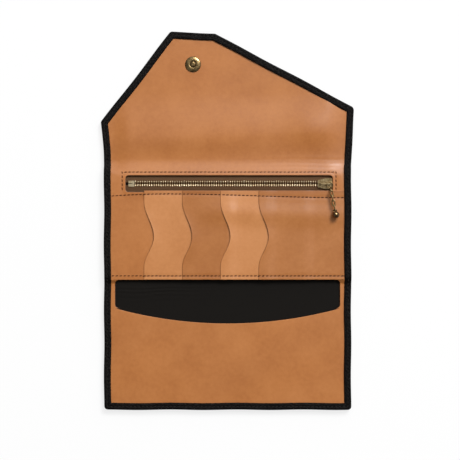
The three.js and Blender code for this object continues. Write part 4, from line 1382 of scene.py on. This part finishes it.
@dataclass
class Zip:
    """The zip and its pull: finishes for the CAD nodes, rounder copies of the small wires.

    Sizes are in millimetres. Inner and outer say how far from the zip's middle line a tape or
    a cord starts and ends. The growths are how far the copies of the pull's parts are swollen
    to make up for what subdividing takes away.
    """

    links: int = 5
    tape_inner: float = 1.1
    tape_outer: float = 7.5
    tape_top: float = 6.0
    tape_thickness: float = 0.6
    bag_top: float = 4.2
    tape_end: float = 86.0
    tooth_pitch: float = 1.82
    tooth_centre: float = 1.52
    tooth_top: float = 6.42
    tooth_half: float = 0.62
    tooth_width: float = 0.52
    head_length: float = 0.78
    tip_length: float = 0.95
    tip_drop: float = 0.42
    cord_inner: float = 0.15
    cord_outer: float = 2.7
    ring_growth: float = 0.05
    first_growth: float = 0.01
    link_growth: float = 0.26
    ball_growth: float = 0.42

    def teeth(self, row: str, side: int, material: bpy.types.Material) -> None:
        """Sets one row of cast teeth along its tape: a rounded head and a thin hooking tip.

        Each tooth is a ball 1.04 mm wide and 1.24 mm high, drawn out to a narrow and lower tip
        towards the other row; the two rows stand half a pitch apart.
        """
        low = node_edge(f"zip_teeth_{row}", 0, 0) + 0.6
        high = node_edge(f"zip_teeth_{row}", 1, 0) - 0.4
        centres = np.arange(low, high, self.tooth_pitch)
        around = np.linspace(0, 2 * math.pi, 14, endpoint=False)
        up = np.linspace(-math.pi / 2, math.pi / 2, 9)
        turn, rise = np.meshgrid(around, up)
        level = np.sign(np.sin(rise)) * np.abs(np.sin(rise)) ** 0.8
        reach = np.cos(rise) ** 0.6
        along = np.sin(turn) * reach
        tip = smooth_step(along, 0.0, 1.0)
        width = self.tooth_width * np.cos(turn) * reach * (1 - 0.45 * tip)
        length = -along * (self.head_length + self.tip_length * tip) * side
        height = self.tooth_half * level - self.tip_drop * tip
        unit = np.stack([width, length, height], -1).reshape(-1, 3)
        seats = np.stack([
            centres, np.full_like(centres, M.zip_y + side * self.tooth_centre),
            np.full_like(centres, self.tooth_top - self.tooth_half),
        ], -1)
        faces = grid_faces(len(up), len(around), True)[:, ::side]
        piece = finish_mesh(f"teeth_{row}", *copies(unit, seats, faces), material)
        seat(piece, "back", "brass", f"zip_teeth_{row}")

    def cord(self, row: str, side: int, material: bpy.types.Material) -> None:
        """Lays the beaded cord that the row of teeth grips, sunk between the teeth."""
        low, high = node_edge(f"zip_teeth_{row}", 0, 0), node_edge(f"zip_teeth_{row}", 1, 0)
        off = np.linspace(self.cord_inner, self.cord_outer, 9)[::side]
        x, y = np.meshgrid(np.linspace(low, high, 260), M.zip_y + side * off)
        round_off = 1 - ((np.abs(y - M.zip_y) - 1.5) / 1.35) ** 2
        top = self.tape_top - 0.55 + 0.4 * np.clip(round_off, 0, 1)
        piece = slab(f"cord_{row}", x, y, top, top - 0.4, material)
        seat(piece, "back", "brown_tape", f"zip_teeth_{row}")

    def dress(self, node: str, material: bpy.types.Material, bevel: float) -> None:
        """Gives a metal CAD node a material of the scene and edges softened by a bevel."""
        piece = frame["nodes"][node]
        piece.data.materials.clear()
        piece.data.materials.append(material)
        soft = piece.modifiers.new("soft_edges", "BEVEL")
        soft.width = bevel * MM
        soft.segments = 2
        soft.limit_method = "ANGLE"
        soft.harden_normals = True
        LOG.info("%s is dressed in %s", node, material.name)

    def tape(self, row: str, side: int, material: bpy.types.Material) -> None:
        """Lays one woven tape, which dips with the leather above it."""
        inner, outer = sorted((M.zip_y + side * self.tape_inner, M.zip_y + side * self.tape_outer))
        x, y = np.meshgrid(np.linspace(-self.tape_end, self.tape_end, 90),
                           np.linspace(inner, outer, 14))
        under_panel = tan_height(x, y) - (M.base_top - M.base_low) - 0.12
        away = smooth_step(np.abs(y - M.zip_y), 2.2, 6.0)
        wave = 0.06 * np.sin(x / 5.3) * away - (1.0 if side > 0 else 0.45) * away
        top = np.minimum(self.tape_top + wave, under_panel)
        piece = slab(f"woven_tape_{row}", x, y, top, top - self.tape_thickness, material)
        seat(piece, "back", "brown_tape", f"zip_tape_{row}")

    def bag(self, material: bpy.types.Material) -> None:
        """Lays the zip pocket's thin cloth bag under the panel."""
        reach = M.half_width - 8.0
        x, y = np.meshgrid(np.linspace(-reach, reach, 40),
                           np.linspace(M.base_bottom + 3.0, M.zip_y + 8.0, 24))
        top = np.full_like(x, self.bag_top) + 0.1 * ripple(x, y, 19.0, 0.4)
        piece = slab("pocket_bag", x, y, top, top - 0.5, material)
        seat(piece, "back", "black_cloth", "zip_pocket_bag")

    def build(self, palette: Palette) -> None:
        """Lays the tapes and the bag, dresses the metal and rounds the pull."""
        brass = palette.metal(BRASS)
        # Teeth and slider are painted darker low down: painted shade between the teeth and under
        # the bridge.
        teeth = palette.metal(TEETH, (self.tooth_top - 1.0, self.tooth_top - 0.4))
        bridge = node_edge("zip_slider", 1, 2)
        slider = palette.metal(SLIDER, (bridge - 8.5, bridge - 2.2))
        tape = palette.cloth(TAPE)
        for row, side in (("upper", 1), ("lower", -1)):
            self.tape(row, side, tape)
            self.cord(row, side, tape)
            self.teeth(row, side, teeth)
        self.dress("zip_bottom_stop", teeth, 0.12)
        self.dress("zip_slider", slider, 0.16)
        self.bag(palette.cloth(LINING))
        self.dress("snap_rivet", palette.metal(DARK_BRASS), 0.1)
        smooth_copy("pull_ring", "ring", brass, self.ring_growth)
        smooth_copy("pull_link_1", "chain", brass, self.first_growth)
        for number in range(2, self.links + 1):
            smooth_copy(f"pull_link_{number}", "chain", brass, self.link_growth)
        smooth_copy("pull_ball", "chain", palette.metal(BALL), self.ball_growth)


def cover_parts() -> list[CoverPart]:
    """Lists the four stretches of cover, each across one fold."""
    half = M.half_width
    low_mid, high_mid = M.lower_middle, M.upper_middle
    front_path = np.array([
        [-half, low_mid], [-half, M.front_edge], [half, M.front_edge], [half, low_mid],
    ])
    lower_left = np.array([[-half, BACK_SPLIT], [-half, low_mid]])
    lower_right = np.array([[half, low_mid], [half, BACK_SPLIT]])
    top_half = float(body_half(np.array(high_mid)))
    upper_left = np.array([[-top_half, high_mid], [-half, M.upper_fold], [-half, BACK_SPLIT]])
    upper_right = np.array([[half, BACK_SPLIT], [half, M.upper_fold], [top_half, high_mid]])
    flap_radii = [0.0, SHOULDER_RADIUS, TIP_RADIUS, TIP_RADIUS, TIP_RADIUS, 0.0]
    return [
        CoverPart(
            "front_cover", ("cover_front",), ("front", "lower_spine"), M.front_fold,
            [(front_path, [0.0, FRONT_RADIUS, FRONT_RADIUS, 0.0])], M.front_edge + 2.0, low_mid,
        ),
        CoverPart(
            "lower_cover", ("cover_lower_spine",), ("lower_spine", "back"), M.lower_fold,
            [(lower_left, [0.0, 0.0]), (lower_right, [0.0, 0.0])], low_mid, BACK_SPLIT,
        ),
        CoverPart(
            "upper_cover", ("cover_back",), ("back", "upper_spine"), M.upper_fold,
            [(upper_left, [0.0] * 3), (upper_right, [0.0] * 3)], BACK_SPLIT, high_mid,
        ),
        CoverPart(
            "flap_cover", ("cover_upper_spine", "cover_flap"), ("upper_spine", "flap"),
            M.flap_fold, [(flap_corners(high_mid), flap_radii)], high_mid, M.flap_tip - 2.6,
            flap_sides,
        ),
    ]


@dataclass
class Studio:
    """Camera, light, floor and background, in metres. Each lamp has a place, power and size."""

    pixel: float = 0.7895 * MM
    picture: int = 460
    centre: tuple[float, float] = (0.0019, -0.0073)
    distance: float = 1.6
    lamps: tuple[tuple[str, tuple[float, float, float], float, float], ...] = (
        ("key", (1.26, 1.98, 2.79), 128.0, 1.3),
        ("gloss", (0.36, 0.50, 1.9), 1.6, 0.3),
        ("fill", (-0.9, -0.5, 1.1), 1.4, 1.2),
    )
    bright_side: tuple[float, float, float] = (0.45, 0.8, 0.4)
    dim_strength: float = 0.16
    bright_strength: float = 1.1

    def camera(self) -> None:
        """Sets the camera straight above, so that the picture spans 460 pixels of 0.79 mm."""
        data = bpy.data.cameras.new("camera")
        data.sensor_width = 36.0
        data.lens = 36.0 * self.distance / (self.pixel * self.picture)
        eye = add_object("camera", data)
        eye.location = (*self.centre, self.distance + 0.005)
        bpy.context.scene.camera = eye

    def lamp(
        self, name: str, place: tuple[float, float, float], power: float, size: float,
    ) -> None:
        """Adds a square area light that points at the wallet."""
        data = bpy.data.lights.new(name, "AREA")
        data.energy = power
        data.size = size
        light = add_object(name, data)
        light.location = place
        down = -np.array(place) / np.linalg.norm(place)
        light.rotation_euler = (
            math.acos(-down[2]), 0.0, math.atan2(down[1], down[0]) - math.pi / 2,
        )

    def seen(self, n: Nodes) -> bpy.types.NodeSocket:
        """A mask that is 1 for rays that see the background, in person, mirrored or through."""
        path = n.add("LightPath").outputs
        first = n.math("MAXIMUM", path["Is Camera Ray"], path["Is Glossy Ray"])
        return n.math("MAXIMUM", first, path["Is Transmission Ray"])

    def floor(self) -> None:
        """Lays a white floor that keeps the wallet's shadow."""
        mesh = bpy.data.meshes.new("floor")
        reach = 3.0
        mesh.from_pydata(
            [(-reach, -reach, 0), (reach, -reach, 0), (reach, reach, 0), (-reach, reach, 0)],
            [], [(0, 1, 2, 3)],
        )
        material = bpy.data.materials.new("floor")
        material.use_nodes = True
        n = Nodes(material.node_tree)
        paint = n.add("BsdfDiffuse", {"Color": (0.86, 0.86, 0.86, 1)}).outputs[0]
        glow = n.add("Emission", {"Strength": 1.0}).outputs[0]
        share = n.math("MULTIPLY", self.seen(n), 0.8)
        mix = n.add("MixShader", {"Fac": share, 1: paint, 2: glow}).outputs[0]
        n.add("OutputMaterial", {"Surface": mix})
        mesh.materials.append(material)
        add_object("floor", mesh)

    def world(self) -> None:
        """Makes a surround brightest to the upper right, plain white where it is seen."""
        world = bpy.data.worlds.new("world")
        world.use_nodes = True
        n = Nodes(world.node_tree)
        place = n.add("TexCoord").outputs["Generated"]
        along = n.add("VectorMath", {0: place, 1: self.bright_side}, operation="DOT_PRODUCT")
        soft = n.span(along.outputs["Value"], 0.1, 1.0, self.dim_strength, self.bright_strength,
                      interpolation_type="SMOOTHSTEP")
        seen = n.add("LightPath").outputs["Is Camera Ray"]
        mix = n.add("MixShader", {
            "Fac": seen, 1: n.add("Background", {"Strength": soft}).outputs[0],
            2: n.add("Background", {"Strength": 1.0}).outputs[0],
        }).outputs[0]
        n.add("OutputWorld", {"Surface": mix})
        bpy.context.scene.world = world

    def build(self) -> None:
        """Builds the studio."""
        self.camera()
        for lamp in self.lamps:
            self.lamp(*lamp)
        self.floor()
        self.world()
        bpy.context.scene.view_settings.view_transform = "Standard"


def main() -> None:
    """Builds the studio and then the wallet from the cover inwards."""
    logging.basicConfig(level=logging.INFO, format="%(name)s: %(message)s")
    Studio().build()
    palette = Palette()
    for part in cover_parts():
        part.build(palette)
    Lining().build(palette)
    NotePocket().build(palette)
    CardSection().build(palette)
    Zip().build(palette)
    Snap().build(palette)


if __name__ == "__main__":
    main()
